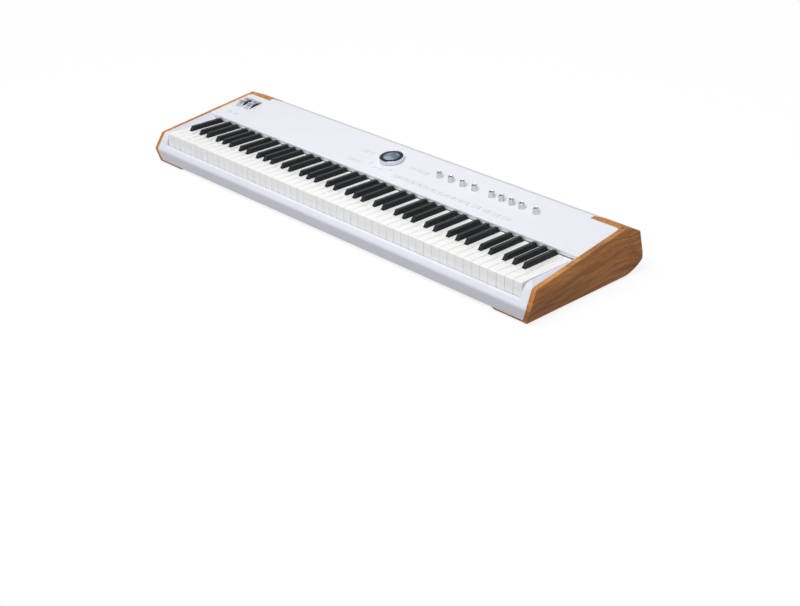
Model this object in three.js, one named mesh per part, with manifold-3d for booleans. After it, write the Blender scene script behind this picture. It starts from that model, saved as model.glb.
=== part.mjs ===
// Stage piano with 88 keys between wooden side panels. Every length is in millimetres.
// x runs from the bass end to the treble end with zero in the middle, y from the key fronts to the rear,
// and z from the floor up. At the end the group is moved so that its origin is under the body's middle.
import * as THREE from 'three';
import { mergeVertices } from 'three/addons/utils/BufferGeometryUtils.js';
import Module from 'manifold-3d';

const wasm = await Module();
wasm.setup();

// Clearance between pieces that seat on each other, and the length by which a cut runs past what it cuts
const fit = 0.3;
const overrun = 40;

// Keys
const whiteKeyCount = 52;
const whitePitch = 23.5;
const whiteGap = 1;
const keyTopHeight = 82.8;
const keyFrontDepth = 33;
const keyFrontWall = 4;
const keyFrontTaper = 8;
const keyBodyDepth = 20;
const keyEdge = 0.8;
const keyPivotSetback = 196;
const keyTail = 6.5;
const pivotRadius = 3;
const blackWidth = 11;
const blackTopWidth = 9;
const blackGap = 1;
const blackFrontSetback = 52;
const blackFrontSlope = 8;
const blackHeight = 13;
const blackWallGap = 1.6;
const blackTailDrop = 1;
const pairShift = 2.5;
const tripleShift = 4;

// Body seen from the side
const footHeight = 5;
const toeReach = 11.5;
const noseReach = 17.6;
const noseHeight = 38.9;
const lipSetback = 5;
const lipDrop = 3.7;
const ridgeRise = 38.4;
const shoulderRise = 19.6;
const heelSetback = 353.3;
const shoulderLead = 11.3;
const ridgeLead = 43;
const toeRadius = 2;
const heelRadius = 46;
const shoulderRadius = 4;
const ridgeRadius = 1.5;
const lipRadius = 10;
const noseRadius = 6;

// Body seen from the front: the sides lean inwards above and below the belt, which is at the nose's height
const wellClearance = 1.5;
const cheekBeltWidth = 25.7;
const woodThickness = 11.5;
const ridgeTuck = 10.7;
const bottomTuck = 12.5;

// Wooden side panels
const returnLead = 12;
const returnWall = 10;
const returnLength = 101;
const returnCornerRadius = 9;
const baseThickness = 4.5;
const baseLength = 104;
const baseBevel = 10;

// White panels and case
const deckSheet = 2;
const wallSetback = 150.5;
const wallFootSetback = 156;
const wallFootRise = 4;
const skirtDepth = 6;
const railWall = 3;
const railLipDepth = 14;
const ledgeDrop = 31.7;
const keyFrontGap = 1.2;
const cheekLift = 1.5;
const cheekRise = 3.6;
const cheekFrontRadius = 28;
const cheekArcSteps = 6;
const cheekUnderlap = 2;
const caseSheet = 2;
const caseRimHeight = 46.8;
const rearRimDrop = 10;
const rearSheet = 2;

// Key frame, contact board and felt
const frameFrontSetback = 8;
const frameSheet = 2;
const guideRailDepth = 16;
const whiteGuideSetback = 24;
const blackGuideSetback = 68;
const guideRailDrop = 34;
const guidePostWidth = 4;
const guidePostDepth = 8;
const guidePostDrop = 17;
const guideSlotDrop = 5;
const guideSideGap = 0.6;
const guideEndGap = 1.5;
const pivotRailDepth = 12;
const pivotNeck = 2;
const contactRailFront = 106;
const contactRailDepth = 36;
const contactBoardDrop = 27.5;
const contactSheet = 1.6;
const contactStripWidth = 12;
const contactStripHeight = 1.2;
const frameRearOverhang = 16;
const feltThickness = 3;
const feltRise = 0.5;
const contactEndInset = 10;

// Controls on the deck: x from the middle, and the setback along the deck from the top of its front wall
const frontRowSetback = 30.8;
const rearRowSetback = 80.3;
const knobSetback = 87.1;
const rowButtonX = 56;
const rowButtonPitch = 22.26;
const rowButtonCount = 11;
const wideButtonX = 311;
const wideButtonPitch = 30;
const wideButtonCount = 4;
const leftButtonX = -106;
const softButtonPitch = 22.2;
const rightButtonX = 56;
const firstKnobX = 142;
const firstKnobPitch = 37.2;
const secondKnobX = 307;
const secondKnobPitch = 30;
const lastKnobX = 438.5;
const knobGroupCount = 4;
const dialX = -14;
const dialSetback = 81.3;
const roundArcRadius = 50.5;
const roundArcAngles = [-41, -11.2, 11.2, 41];
const octaveInset = 39.5;
const octavePitch = 28;
const octaveSetback = 33.6;

// Buttons, knobs, dial and display
const rowButtonWidth = 18;
const wideButtonWidth = 20.5;
const buttonDepth = 12;
const buttonRise = 1.6;
const buttonBevel = 0.8;
const buttonTravel = 0.8;
const buttonFlange = 1.2;
const buttonFlangeHeight = 1;
const holeClearance = 0.3;
const softButtonWidth = 17;
const softButtonDepth = 12;
const softButtonRise = 1.2;
const roundButtonRadius = 5;
const octaveButtonWidth = 15;
const octaveButtonDepth = 10;
const matSheet = 1.2;
const matMargin = 5;
const knobHeight = 12;
const knobBaseRadius = 8.75;
const knobWaistRadius = 7.3;
const knobTopRadius = 7;
const knobFoot = 1;
const knobFlare = 3.2;
const knobEdge = 0.9;
const knobDish = 0.8;
const knobFaces = 14;
const shaftRadius = 3;
const shaftGap = 0.6;
const surfaceGap = 0.5;
const potSize = 12;
const switchSize = 6;
const dialRadius = 30;
const dialHeight = 11.5;
const dialEdge = 0.8;
const dialRim = 1.8;
const dialSleeveRadius = 26;
const dialSleeveWall = 2;
const dialFaces = 36;
const lensThickness = 2.5;
const lensEdge = 0.5;
const boardSheet = 1.6;
const boardDrop = 9;
const boardMargin = 14;

// Pitch and modulation wheels
const wheelRadius = 32;
const wheelRise = 11;
const wheelWidth = 18;
const wheelGap = 1;
const wheelPitch = 33;
const wheelInset = 34.6;
const wheelTailGap = 11;
const wheelFaces = 44;
const thumbRadius = 12;
const thumbDepth = 3;
const axleRadius = 3;
const housingWall = 3;
const housingTrim = 1;
const housingFloorGap = 2;
const shelfSheet = 2;
const shelfDrop = 6;
const shelfFrontSetback = 24;

// Sockets at the rear: x from the middle, in the order in which they stand from the bass end
const socketHeight = 72;
const powerSwitchX = -410;
const inletGap = 30;
const usbGap = 35;
const usbPitch = 30;
const midiGap = 40;
const midiPitch = 30;
const pedalGap = 40;
const jackPitch = 26;
const jackGroupGap = 36;
const jackRadius = 3.4;
const jackHoleRadius = 4.6;
const jackWidth = 18;
const jackHeight = 16;
const jackDepth = 24;
const jackEnd = 2;
const midiRadius = 7.5;
const midiPinRadius = 1;
const midiPinCircle = 3.5;
const midiPinDepth = 6;
const midiPinAngles = [0, 45, 90, 135, 180];
const inletRadius = 3.2;
const inletPinRadius = 1.1;
const inletDepth = 10;
const usbWidth = 12.6;
const usbHeight = 5.4;
const usbDepth = 12;
const usbTongue = 2;
const usbBlockHeight = 12;
const switchCapRadius = 6;
const switchCapRise = 3;
const switchTravel = 2;
const switchFlange = 1.5;
const switchStemDepth = 8;
const ioBoardSheet = 1.6;
const ioBoardMargin = 16;
const ioBoardDepth = 52;
const ioBossRadius = 4;
const ioBossInset = 8;

// Feet
const footRadius = 12;
const footWaist = 1;
const footInset = 58;
const frontFootSetback = 16;
const rearFootLead = 73.3;

// Sizes that follow from the ones above
const lipHeight = keyTopHeight - lipDrop;
const ridgeHeight = keyTopHeight + ridgeRise;
const shoulderHeight = keyTopHeight + shoulderRise;
const shoulderSetback = heelSetback - shoulderLead;
const ridgeSetback = shoulderSetback - ridgeLead;
const returnSetback = ridgeSetback - returnLead;
const caseRearRimHeight = socketHeight - rearRimDrop;
const inletX = powerSwitchX + inletGap;
const usbDeviceX = inletX + usbGap;
const usbHostX = usbDeviceX + usbPitch;
const midiX = usbHostX + midiGap;
const pedalX = midiX + midiPitch + pedalGap;
const audioInX = pedalX + 2 * jackPitch + jackGroupGap;
const audioOutX = audioInX + jackPitch + jackGroupGap;
const phonesX = audioOutX + jackPitch + jackGroupGap;
const keyboardHalf = (whiteKeyCount * whitePitch) / 2;
const wellHalf = keyboardHalf + wellClearance;
const beltHalfWidth = wellHalf + cheekBeltWidth + fit + woodThickness;
const upperLean = ridgeTuck / (ridgeHeight - noseHeight);
const lowerLean = bottomTuck / (noseHeight - footHeight);
const deckSlope = (ridgeHeight - lipHeight) / (ridgeSetback - lipSetback);
const deckTilt = Math.atan(deckSlope);
const wallTopHeight = lipHeight + deckSlope * (wallSetback - lipSetback);
const wallFootHeight = keyTopHeight + wallFootRise;
const wallLean = (wallFootSetback - wallSetback) / (wallTopHeight - wallFootHeight);
const keyRearSetback = keyPivotSetback + keyTail;
const keyUnderside = keyTopHeight - keyBodyDepth;
const ledgeHeight = keyTopHeight - ledgeDrop;
const baseTopHeight = footHeight + baseThickness;
const caseBottomHeight = baseTopHeight + fit;
const caseFloorHeight = caseBottomHeight + caseSheet;
const returnHalfWidth = beltHalfWidth - returnLength;
const baseHalfWidth = beltHalfWidth - baseLength;
const cheekEndSetback = wallFootSetback + cheekUnderlap;

// Colours, roughness and metalness of the real finishes
const finish = (color, roughness, metalness = 0) =>
  new THREE.MeshStandardMaterial({ color, roughness, metalness, flatShading: true });
const whitePaint = finish(0xe8eaf2, 0.45);
const walnut = finish(0x7a5534, 0.5);
const keyPlastic = finish(0xf3f3ee, 0.25);
const blackKeyPlastic = finish(0x2a2f30, 0.35);
const softWhite = finish(0xdfe2ea, 0.6);
const satinSilver = finish(0xc9ccd2, 0.3, 0.8);
const darkPlastic = finish(0x24262a, 0.6);
const darkGlass = finish(0x111316, 0.08);
const boardGreen = finish(0x1f4a33, 0.6);
const feltOrange = finish(0x9a5a33, 0.95);
const rubberBlack = finish(0x1b1c1e, 0.9);

// Plane outlines

const radians = THREE.MathUtils.degToRad;

// A point moved from another along a direction
const along = (point, direction, length) => point.clone().addScaledVector(direction, length);
const towards = (from, to) => to.clone().sub(from).normalize();

// Points of an arc between two angles, ends included
function arc(centre, radius, from, to, arcStep = Math.PI / 18) {
  const steps = Math.max(1, Math.ceil(Math.abs(to - from) / arcStep - 1e-6));
  return Array.from({ length: steps + 1 }, (_, k) => {
    const angle = from + ((to - from) * k) / steps;
    return [centre[0] + radius * Math.cos(angle), centre[1] + radius * Math.sin(angle)];
  });
}

// A circle as an outline with the given number of sides
const circle = (centre, radius, faces) =>
  arc(centre, radius, 0, 2 * Math.PI, (2 * Math.PI) / faces).slice(0, -1);

// An outline whose corners are rounded, each by its own radius, in arcs of equal or of so many steps
function rounded(corners, radii, arcSteps) {
  const points = corners.map((corner) => new THREE.Vector2(...corner));
  return points.flatMap((corner, i) => {
    if (!(radii[i] > 0)) return [corners[i]];
    const back = towards(corner, points[(i + points.length - 1) % points.length]);
    const ahead = towards(corner, points[(i + 1) % points.length]);
    const half = Math.acos(back.dot(ahead)) / 2;
    const start = along(corner, back, radii[i] / Math.tan(half));
    const middle = along(corner, back.clone().add(ahead).normalize(), radii[i] / Math.sin(half));
    const from = Math.atan2(start.y - middle.y, start.x - middle.x);
    const turn = Math.sign(ahead.cross(back)) * (Math.PI - 2 * half);
    return arc([middle.x, middle.y], radii[i], from, from + turn, arcSteps && Math.abs(turn) / arcSteps);
  });
}

// Where two lines meet, each given by a point and a direction
function crossing(pointA, directionA, pointB, directionB) {
  const gap = pointB.clone().sub(pointA);
  return along(pointA, directionA, gap.cross(directionB) / directionA.cross(directionB));
}

// The corners of a counter-clockwise outline with each side moved inwards by its own depth
function insetCorners(corners, depths) {
  const points = corners.map((corner) => new THREE.Vector2(...corner));
  const sides = points.map((point, i) => {
    const direction = towards(point, points[(i + 1) % points.length]);
    const inwards = new THREE.Vector2(-direction.y, direction.x);
    return { origin: along(point, inwards, depths[i]), direction };
  });
  return sides.map((side, i) => {
    const before = sides[(i + sides.length - 1) % sides.length];
    const corner = crossing(before.origin, before.direction, side.origin, side.direction);
    return [corner.x, corner.y];
  });
}

// The section of a folded sheet: its outer face as a path, the thickness laid on the path's right
function foldedSheet(path, radii, thickness) {
  const points = path.map((point) => new THREE.Vector2(...point));
  const inner = points.map((point, i) => {
    const before = towards(points[Math.max(i - 1, 0)], points[Math.max(i, 1)]);
    const last = points.length - 1;
    const after = towards(points[Math.min(i, last - 1)], points[Math.min(i + 1, last)]);
    const middle = before.clone().add(after).normalize();
    const right = new THREE.Vector2(middle.y, -middle.x);
    const corner = along(point, right, thickness / middle.dot(after));
    return [corner.x, corner.y];
  });
  const innerRadii = radii.map((radius) => Math.max(radius - thickness, 0));
  return rounded([...path, ...inner.reverse()], [...radii, ...innerRadii.reverse()]);
}

// Solids

// A closed surface as a solid that can be joined and cut
function solid(geometry) {
  const bare = geometry.index ? geometry.toNonIndexed() : geometry.clone();
  bare.deleteAttribute('normal');
  bare.deleteAttribute('uv');
  const merged = mergeVertices(bare);
  const corners = [];
  for (let i = 0; i < merged.index.count; i += 3) {
    const [a, b, c] = [0, 1, 2].map((k) => merged.index.getX(i + k));
    if (a !== b && b !== c && c !== a) corners.push(a, b, c);
  }
  return new wasm.Manifold(
    new wasm.Mesh({
      numProp: 3,
      vertProperties: new Float32Array(merged.attributes.position.array),
      triVerts: new Uint32Array(corners),
    }),
  );
}

// The surface of a finished solid
function surface(body) {
  const mesh = body.getMesh();
  const geometry = new THREE.BufferGeometry();
  geometry.setAttribute('position', new THREE.BufferAttribute(mesh.vertProperties, 3));
  geometry.setIndex(new THREE.BufferAttribute(mesh.triVerts, 1));
  geometry.computeVertexNormals();
  return geometry;
}

const extruded = (outline, depth) =>
  new THREE.ExtrudeGeometry(new THREE.Shape(outline.map((point) => new THREE.Vector2(...point))), {
    depth,
    bevelEnabled: false,
  });

// An outline in y and z drawn out along x, one in x and z along y, and one in x and y along z
function prismX(outline, from, to) {
  const turn = new THREE.Matrix4().set(0, 0, 1, from, 1, 0, 0, 0, 0, 1, 0, 0, 0, 0, 0, 1);
  return solid(extruded(outline, to - from).applyMatrix4(turn));
}

// A solid whose outline in y and z changes along x from a near one to a far one with as many points
function loftX(near, far, from, to) {
  const pairs = new Map(near.map(([y, z], i) => [[y, z].map(Math.fround).join(), far[i]]));
  const geometry = extruded(near, to - from);
  const position = geometry.attributes.position;
  for (let i = 0; i < position.count; i += 1) {
    const point = [position.getX(i), position.getY(i)];
    const atFarEnd = position.getZ(i) > (to - from) / 2;
    const [y, z] = atFarEnd ? pairs.get(point.join()) : point;
    position.setXYZ(i, atFarEnd ? to : from, y, z);
  }
  return solid(geometry);
}
function prismY(outline, from, to) {
  const turn = new THREE.Matrix4().set(1, 0, 0, 0, 0, 0, -1, to, 0, 1, 0, 0, 0, 0, 0, 1);
  return solid(extruded(outline, to - from).applyMatrix4(turn));
}
function prismZ(outline, from, to) {
  return solid(extruded(outline, to - from).translate(0, 0, from));
}

// A block that draws in from its lower rectangle to its upper one, each given as x0, x1, y0, y1
function tapered(lower, upper, z0, z1) {
  const geometry = new THREE.BoxGeometry(1, 1, 1);
  const position = geometry.attributes.position;
  for (let i = 0; i < position.count; i += 1) {
    const [x0, x1, y0, y1] = position.getZ(i) > 0 ? upper : lower;
    const x = position.getX(i) > 0 ? x1 : x0;
    const y = position.getY(i) > 0 ? y1 : y0;
    position.setXYZ(i, x, y, position.getZ(i) > 0 ? z1 : z0);
  }
  return solid(geometry);
}
const block = (x0, x1, y0, y1, z0, z1) => tapered([x0, x1, y0, y1], [x0, x1, y0, y1], z0, z1);

// A profile of radius and height turned about the z axis, from its foot to its top
const turned = (profile, faces) =>
  solid(
    new THREE.LatheGeometry(
      profile.map((point) => new THREE.Vector2(...point)),
      faces,
    ).rotateX(Math.PI / 2),
  );

const moved = (geometry, matrix) => geometry.clone().applyMatrix4(matrix);
const joined = (solids) => solids.reduce((whole, part) => whole.add(part));
const cut = (body, cutters) => cutters.reduce((rest, cutter) => rest.subtract(cutter), body);

// The same solid on the other side of the middle
function mirrored(body) {
  const geometry = surface(body).scale(-1, 1, 1);
  const index = geometry.index;
  for (let i = 0; i < index.count; i += 3) {
    const first = index.getX(i);
    index.setX(i, index.getX(i + 1));
    index.setX(i + 1, first);
  }
  return solid(geometry);
}

// The piano, and the deck's own frame: x across, y up the deck from its front edge, z out of its face
const piano = new THREE.Group();
const deck = new THREE.Group();
deck.position.set(0, wallSetback, wallTopHeight);
deck.rotation.x = deckTilt;
deck.updateMatrix();
piano.add(deck);

function piece(name, body, material, parent = piano) {
  const mesh = new THREE.Mesh(surface(body), material);
  mesh.name = name;
  parent.add(mesh);
  return mesh;
}

// Body envelope shared by the wood, the rail, the case and the panels
const bodyCorners = [
  [-toeReach, footHeight],
  [heelSetback, footHeight],
  [shoulderSetback, shoulderHeight],
  [ridgeSetback, ridgeHeight],
  [lipSetback, lipHeight],
  [-noseReach, noseHeight],
];
const bodyRadii = [toeRadius, heelRadius, shoulderRadius, ridgeRadius, lipRadius, noseRadius];
const bodyOutline = rounded(bodyCorners, bodyRadii);
const lowest = footHeight - overrun;
const highest = ridgeHeight + overrun;
const foremost = -noseReach - overrun;
const rearmost = heelSetback + overrun;

// The half width inside the wood at a height above the belt
const innerHalfAt = (height) =>
  beltHalfWidth - woodThickness - fit - upperLean * (height - noseHeight);

// Everything between the two leaning sides, each moved in by the inset
function betweenSides(inset, yFrom = foremost, yTo = rearmost) {
  const belt = beltHalfWidth - inset;
  const top = belt - upperLean * (highest - noseHeight);
  const bottom = belt - lowerLean * (noseHeight - lowest);
  const right = [
    [bottom, lowest],
    [belt, noseHeight],
    [top, highest],
  ];
  const left = right.map(([x, z]) => [-x, z]).reverse();
  return prismY([...right, ...left], yFrom, yTo);
}

// The room of the white deck: its plan has rounded rear corners, and its ends lean with the sides
function deckRoom(inset, rear, cornerRadius, from, to) {
  const half = beltHalfWidth - inset;
  const plan = rounded(
    [
      [-half, foremost],
      [half, foremost],
      [half, rear],
      [-half, rear],
    ],
    [0, 0, cornerRadius, cornerRadius],
  );
  const geometry = extruded(plan, to - from).translate(0, 0, from);
  const lean = from < noseHeight ? -lowerLean : upperLean;
  const position = geometry.attributes.position;
  for (let i = 0; i < position.count; i += 1) {
    const x = position.getX(i);
    position.setX(i, x - Math.sign(x) * lean * (position.getZ(i) - noseHeight));
  }
  return solid(geometry);
}

// Wooden side panels: wall, rear return with its top lip, and base flange, all from one profile
function sidePanel() {
  const blank = prismX(bodyOutline, 0, beltHalfWidth + overrun).intersect(betweenSides(0));
  const roomCorners = insetCorners(bodyCorners, [
    baseThickness,
    returnWall,
    returnWall,
    returnWall,
    -overrun,
    -overrun,
  ]);
  const roomRadii = [0, heelRadius - returnWall, 0, 0, 0, 0];
  const room = prismX(rounded(roomCorners, roomRadii), -overrun, beltHalfWidth + overrun);
  const baseEnd = prismY(
    [
      [-overrun, lowest],
      [baseHalfWidth, lowest],
      [baseHalfWidth, footHeight],
      [baseHalfWidth - baseBevel, baseTopHeight],
      [-overrun, baseTopHeight],
    ],
    foremost,
    rearmost,
  );
  return cut(blank, [
    room.intersect(betweenSides(woodThickness)),
    deckRoom(woodThickness, returnSetback, returnCornerRadius, baseTopHeight, noseHeight),
    deckRoom(woodThickness, returnSetback, returnCornerRadius, noseHeight, highest),
    block(-overrun, returnHalfWidth, foremost, rearmost, baseTopHeight, highest),
    baseEnd,
  ]);
}
const rightPanel = sidePanel();
piece('right_side_panel', rightPanel, walnut);
piece('left_side_panel', mirrored(rightPanel), walnut);

// The case's outline, moved in by the inset and stepped in where the wooden returns wrap it
const caseLift = caseBottomHeight - footHeight;
function trayBody(inset) {
  const corners = (rear) =>
    insetCorners(bodyCorners, [
      caseLift + inset,
      rear + inset,
      inset - overrun,
      inset - overrun,
      railWall + fit + inset,
      railWall + fit + inset,
    ]);
  const radii = (rear) => [0, heelRadius - rear - inset, 0, 0, 0, 0];
  const body = (rear, half) => prismX(rounded(corners(rear), radii(rear)), -half, half);
  const wrapped = returnWall + fit;
  return body(0, returnHalfWidth - fit - inset)
    .add(body(wrapped, beltHalfWidth))
    .intersect(betweenSides(woodThickness + fit + inset));
}

// Front rail with its two cheeks: a moulded shell, open below and behind, with a ledge before the keys.
// A cheek's top follows the wood's edge on one side, and beside the keys it is nearly level.
const railToe = insetCorners(bodyCorners, [caseLift, 0, 0, 0, 0, 0])[0];
const browSlope = (lipSetback + noseReach) / (lipHeight - noseHeight);
const cheekLevel = keyTopHeight + cheekLift;
const cheekCorners = (front, rearHeight) => [
  railToe,
  [cheekEndSetback, caseBottomHeight],
  [cheekEndSetback, rearHeight],
  front,
  [-noseReach, noseHeight],
];
const cheekProfile = (front, rearHeight, radius) =>
  rounded(cheekCorners(front, rearHeight), [0, 0, 0, radius, noseRadius], cheekArcSteps);
const wallFaceAt = (height) => wallFootSetback - wallLean * (height - wallFootHeight) - fit;
function railBlank() {
  const lip = [lipSetback, lipHeight];
  const levelFront = [browSlope * (cheekLevel - noseHeight) - noseReach, cheekLevel];
  const keySide = cheekProfile(levelFront, keyTopHeight + cheekRise, cheekFrontRadius);
  const woodSide = cheekProfile(lip, lipHeight + deckSlope * (cheekEndSetback - lipSetback), lipRadius);
  const cheekOuter = innerHalfAt(lipHeight);
  const cheek = loftX(keySide, woodSide, wellHalf, cheekOuter).add(prismX(woodSide, cheekOuter, beltHalfWidth));
  const underWall = wallFootHeight - fit;
  const behindWall = prismX(
    [
      [wallFaceAt(underWall), underWall],
      [rearmost, underWall],
      [rearmost, highest],
      [wallFaceAt(highest), highest],
    ],
    -beltHalfWidth,
    beltHalfWidth,
  );
  return joined([prismX(keySide, -wellHalf, wellHalf), cheek, mirrored(cheek)])
    .subtract(behindWall)
    .intersect(betweenSides(woodThickness + fit));
}
function frontRail() {
  const lowCorners = cheekCorners([lipSetback, lipHeight], keyTopHeight + cheekRise);
  const hollowCorners = insetCorners(lowCorners, [-overrun, -overrun, railWall, railWall, railWall]);
  const hollow = prismX(
    rounded(hollowCorners, [0, 0, 0, lipRadius - railWall, noseRadius - railWall]),
    -beltHalfWidth,
    beltHalfWidth,
  );
  const wellFront = -keyFrontGap;
  const belowLedge = ledgeHeight - railWall;
  const railRoom = joined([
    block(-wellHalf, wellHalf, foremost, wellFront - railWall, lowest, belowLedge),
    block(-wellHalf, wellHalf, foremost, rearmost, lowest, ledgeHeight - railLipDepth),
  ]);
  const cheekInset = woodThickness + fit + caseSheet + fit;
  const cheekRoom = betweenSides(cheekInset + railWall).subtract(
    block(-wellHalf - railWall, wellHalf + railWall, foremost, rearmost, lowest, highest),
  );
  const belowRim = block(-beltHalfWidth, beltHalfWidth, foremost, rearmost, lowest, caseRimHeight + fit);
  const caseRelief = belowRim.subtract(trayBody(caseSheet + fit));
  return cut(railBlank(), [
    block(-wellHalf, wellHalf, foremost, rearmost, ledgeHeight, highest),
    block(-wellHalf, wellHalf, wellFront, rearmost, lowest, highest),
    hollow.intersect(joined([railRoom, cheekRoom, caseRelief])),
  ]);
}
piece('front_rail', frontRail(), whitePaint);

// Bottom case: a tray of folded sheet with a rounded heel and bosses that carry the main board
const ioBoardHeight = socketHeight - jackHeight / 2 - ioBoardSheet;
const ioBoardEnds = [powerSwitchX - ioBoardMargin, phonesX + ioBoardMargin];
const rearLean = (heelSetback - shoulderSetback) / (shoulderHeight - footHeight);
const rearFaceAt = (height) => heelSetback - rearLean * (height - footHeight);
const ioFrontSetback = rearFaceAt(socketHeight + jackHeight / 2) - rearSheet - 2 * fit - ioBoardDepth;
const ioBosses = [
  [ioBoardEnds[0] + ioBossInset, ioFrontSetback + ioBossInset],
  [ioBoardEnds[1] - ioBossInset, ioFrontSetback + ioBossInset],
];
function bottomCase() {
  const aboveRim = block(
    -beltHalfWidth,
    beltHalfWidth,
    foremost,
    cheekEndSetback + guideRailDepth,
    caseRimHeight,
    highest,
  );
  const aboveRearRim = block(-beltHalfWidth, beltHalfWidth, foremost, rearmost, caseRearRimHeight, highest);
  const bosses = ioBosses.map(([x, y]) =>
    prismZ(circle([x, y], ioBossRadius, 10), caseBottomHeight, ioBoardHeight - fit),
  );
  return joined([cut(trayBody(0), [trayBody(caseSheet), aboveRim, aboveRearRim]), ...bosses]);
}
piece('bottom_case', bottomCase(), darkPlastic);

// Top panel: one folded sheet from the foot of the front wall over the ridge to the skirt behind
const throughDeck = (body) => solid(moved(surface(body), deck.matrix));
const wheelAxleDrop = wheelRadius - wheelRise;
const wheelAxleSetback =
  (keyRearSetback + wheelTailGap + wheelRadius - wallSetback - wheelAxleDrop * Math.sin(deckTilt)) /
  Math.cos(deckTilt);
const wheelHalf = innerHalfAt(wallTopHeight) - wheelInset;
const wheels = [
  { name: 'pitch_wheel', x: -wheelHalf },
  { name: 'mod_wheel', x: -wheelHalf + wheelPitch },
];
const octaveX = [0, 1].map((k) => -innerHalfAt(wallTopHeight) + octaveInset + k * octavePitch);
const row = (count, first, pitch) => Array.from({ length: count }, (_, k) => first + k * pitch);
const rowButtons = [
  ...row(rowButtonCount, rowButtonX, rowButtonPitch).map((x) => ({ x, width: rowButtonWidth })),
  ...row(wideButtonCount, wideButtonX, wideButtonPitch).map((x) => ({ x, width: wideButtonWidth })),
];
const knobX = [
  ...row(knobGroupCount, firstKnobX, firstKnobPitch),
  ...row(knobGroupCount, secondKnobX, secondKnobPitch),
  lastKnobX,
];
const softButtons = [
  ...row(2, leftButtonX, softButtonPitch).map((x) => [x, frontRowSetback]),
  ...row(2, leftButtonX, softButtonPitch).map((x) => [x, rearRowSetback]),
  ...row(3, rightButtonX, softButtonPitch).map((x) => [x, rearRowSetback]),
];
const roundButtons = roundArcAngles.map((angle) => [
  dialX + roundArcRadius * Math.sin(radians(angle)),
  dialSetback - roundArcRadius * Math.cos(radians(angle)),
]);
const around = ([x, y], width, depth, z0, z1) =>
  block(x - width / 2, x + width / 2, y - depth / 2, y + depth / 2, z0, z1);
function deckHoles() {
  const hole = ([x, y], width, depth) =>
    around([x, y], width + 2 * holeClearance, depth + 2 * holeClearance, -overrun, overrun);
  const drill = (centre, radius, faces) => prismZ(circle(centre, radius, faces), -overrun, overrun);
  const slotHalf = Math.sqrt(wheelRadius ** 2 - (wheelAxleDrop - deckSheet) ** 2) + wheelGap;
  return [
    ...rowButtons.map(({ x, width }) => hole([x, frontRowSetback], width, buttonDepth)),
    ...softButtons.map((centre) => hole(centre, softButtonWidth, softButtonDepth)),
    ...roundButtons.map((centre) => drill(centre, roundButtonRadius + holeClearance, 10)),
    ...octaveX.map((x) => hole([x, octaveSetback], octaveButtonWidth, octaveButtonDepth)),
    ...knobX.map((x) => drill([x, knobSetback], shaftRadius + shaftGap, 8)),
    ...wheels.map(({ x }) =>
      around([x, wheelAxleSetback], wheelWidth + 2 * wheelGap, 2 * slotHalf, -overrun, overrun),
    ),
    drill([dialX, dialSetback], dialSleeveRadius + surfaceGap, dialFaces),
  ].map(throughDeck);
}
function topPanel() {
  const skirtHeight = shoulderHeight - skirtDepth;
  const path = [
    [wallFootSetback, wallFootHeight],
    [wallSetback, wallTopHeight],
    [ridgeSetback, ridgeHeight],
    [shoulderSetback, shoulderHeight],
    [rearFaceAt(skirtHeight), skirtHeight],
  ];
  const radii = [0, deckSheet + fit, deckSheet + fit, shoulderRadius, 0];
  const sheet = prismX(foldedSheet(path, radii, deckSheet), -beltHalfWidth, beltHalfWidth);
  const middle = returnHalfWidth - fit;
  const room = deckRoom(
    woodThickness + fit,
    returnSetback - fit,
    returnCornerRadius - fit,
    noseHeight,
    highest,
  ).add(block(-middle, middle, foremost, rearmost, lowest, highest));
  return cut(sheet.intersect(room), deckHoles());
}
piece('top_panel', topPanel(), whitePaint);

// Rear panel: a plate between the wooden returns, with a hole for each socket
const jackX = [
  ...row(3, pedalX, jackPitch),
  ...row(2, audioInX, jackPitch),
  ...row(2, audioOutX, jackPitch),
  phonesX,
];
const midiSockets = row(2, midiX, midiPitch);
const usbX = [usbDeviceX, usbHostX];
function rearPanel() {
  const top = shoulderHeight - skirtDepth - fit;
  const bottom = caseRearRimHeight + fit;
  const path = [
    [rearFaceAt(top), top],
    [rearFaceAt(bottom), bottom],
  ];
  const half = returnHalfWidth - fit;
  const plate = prismX(foldedSheet(path, [0, 0], rearSheet), -half, half);
  const bore = (x, radius, faces) =>
    prismY(circle([x, socketHeight], radius, faces), heelSetback - overrun, rearmost);
  const slot = (x) =>
    block(
      x - usbWidth / 2 - fit,
      x + usbWidth / 2 + fit,
      heelSetback - overrun,
      rearmost,
      socketHeight - usbHeight / 2 - fit,
      socketHeight + usbHeight / 2 + fit,
    );
  return cut(plate, [
    ...jackX.map((x) => bore(x, jackHoleRadius, 10)),
    ...midiSockets.map((x) => bore(x, midiRadius, 16)),
    ...usbX.map(slot),
    bore(inletX, inletRadius + fit, 12),
    bore(powerSwitchX, switchCapRadius + holeClearance, 16),
  ]);
}
piece('rear_panel', rearPanel(), whitePaint);

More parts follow.
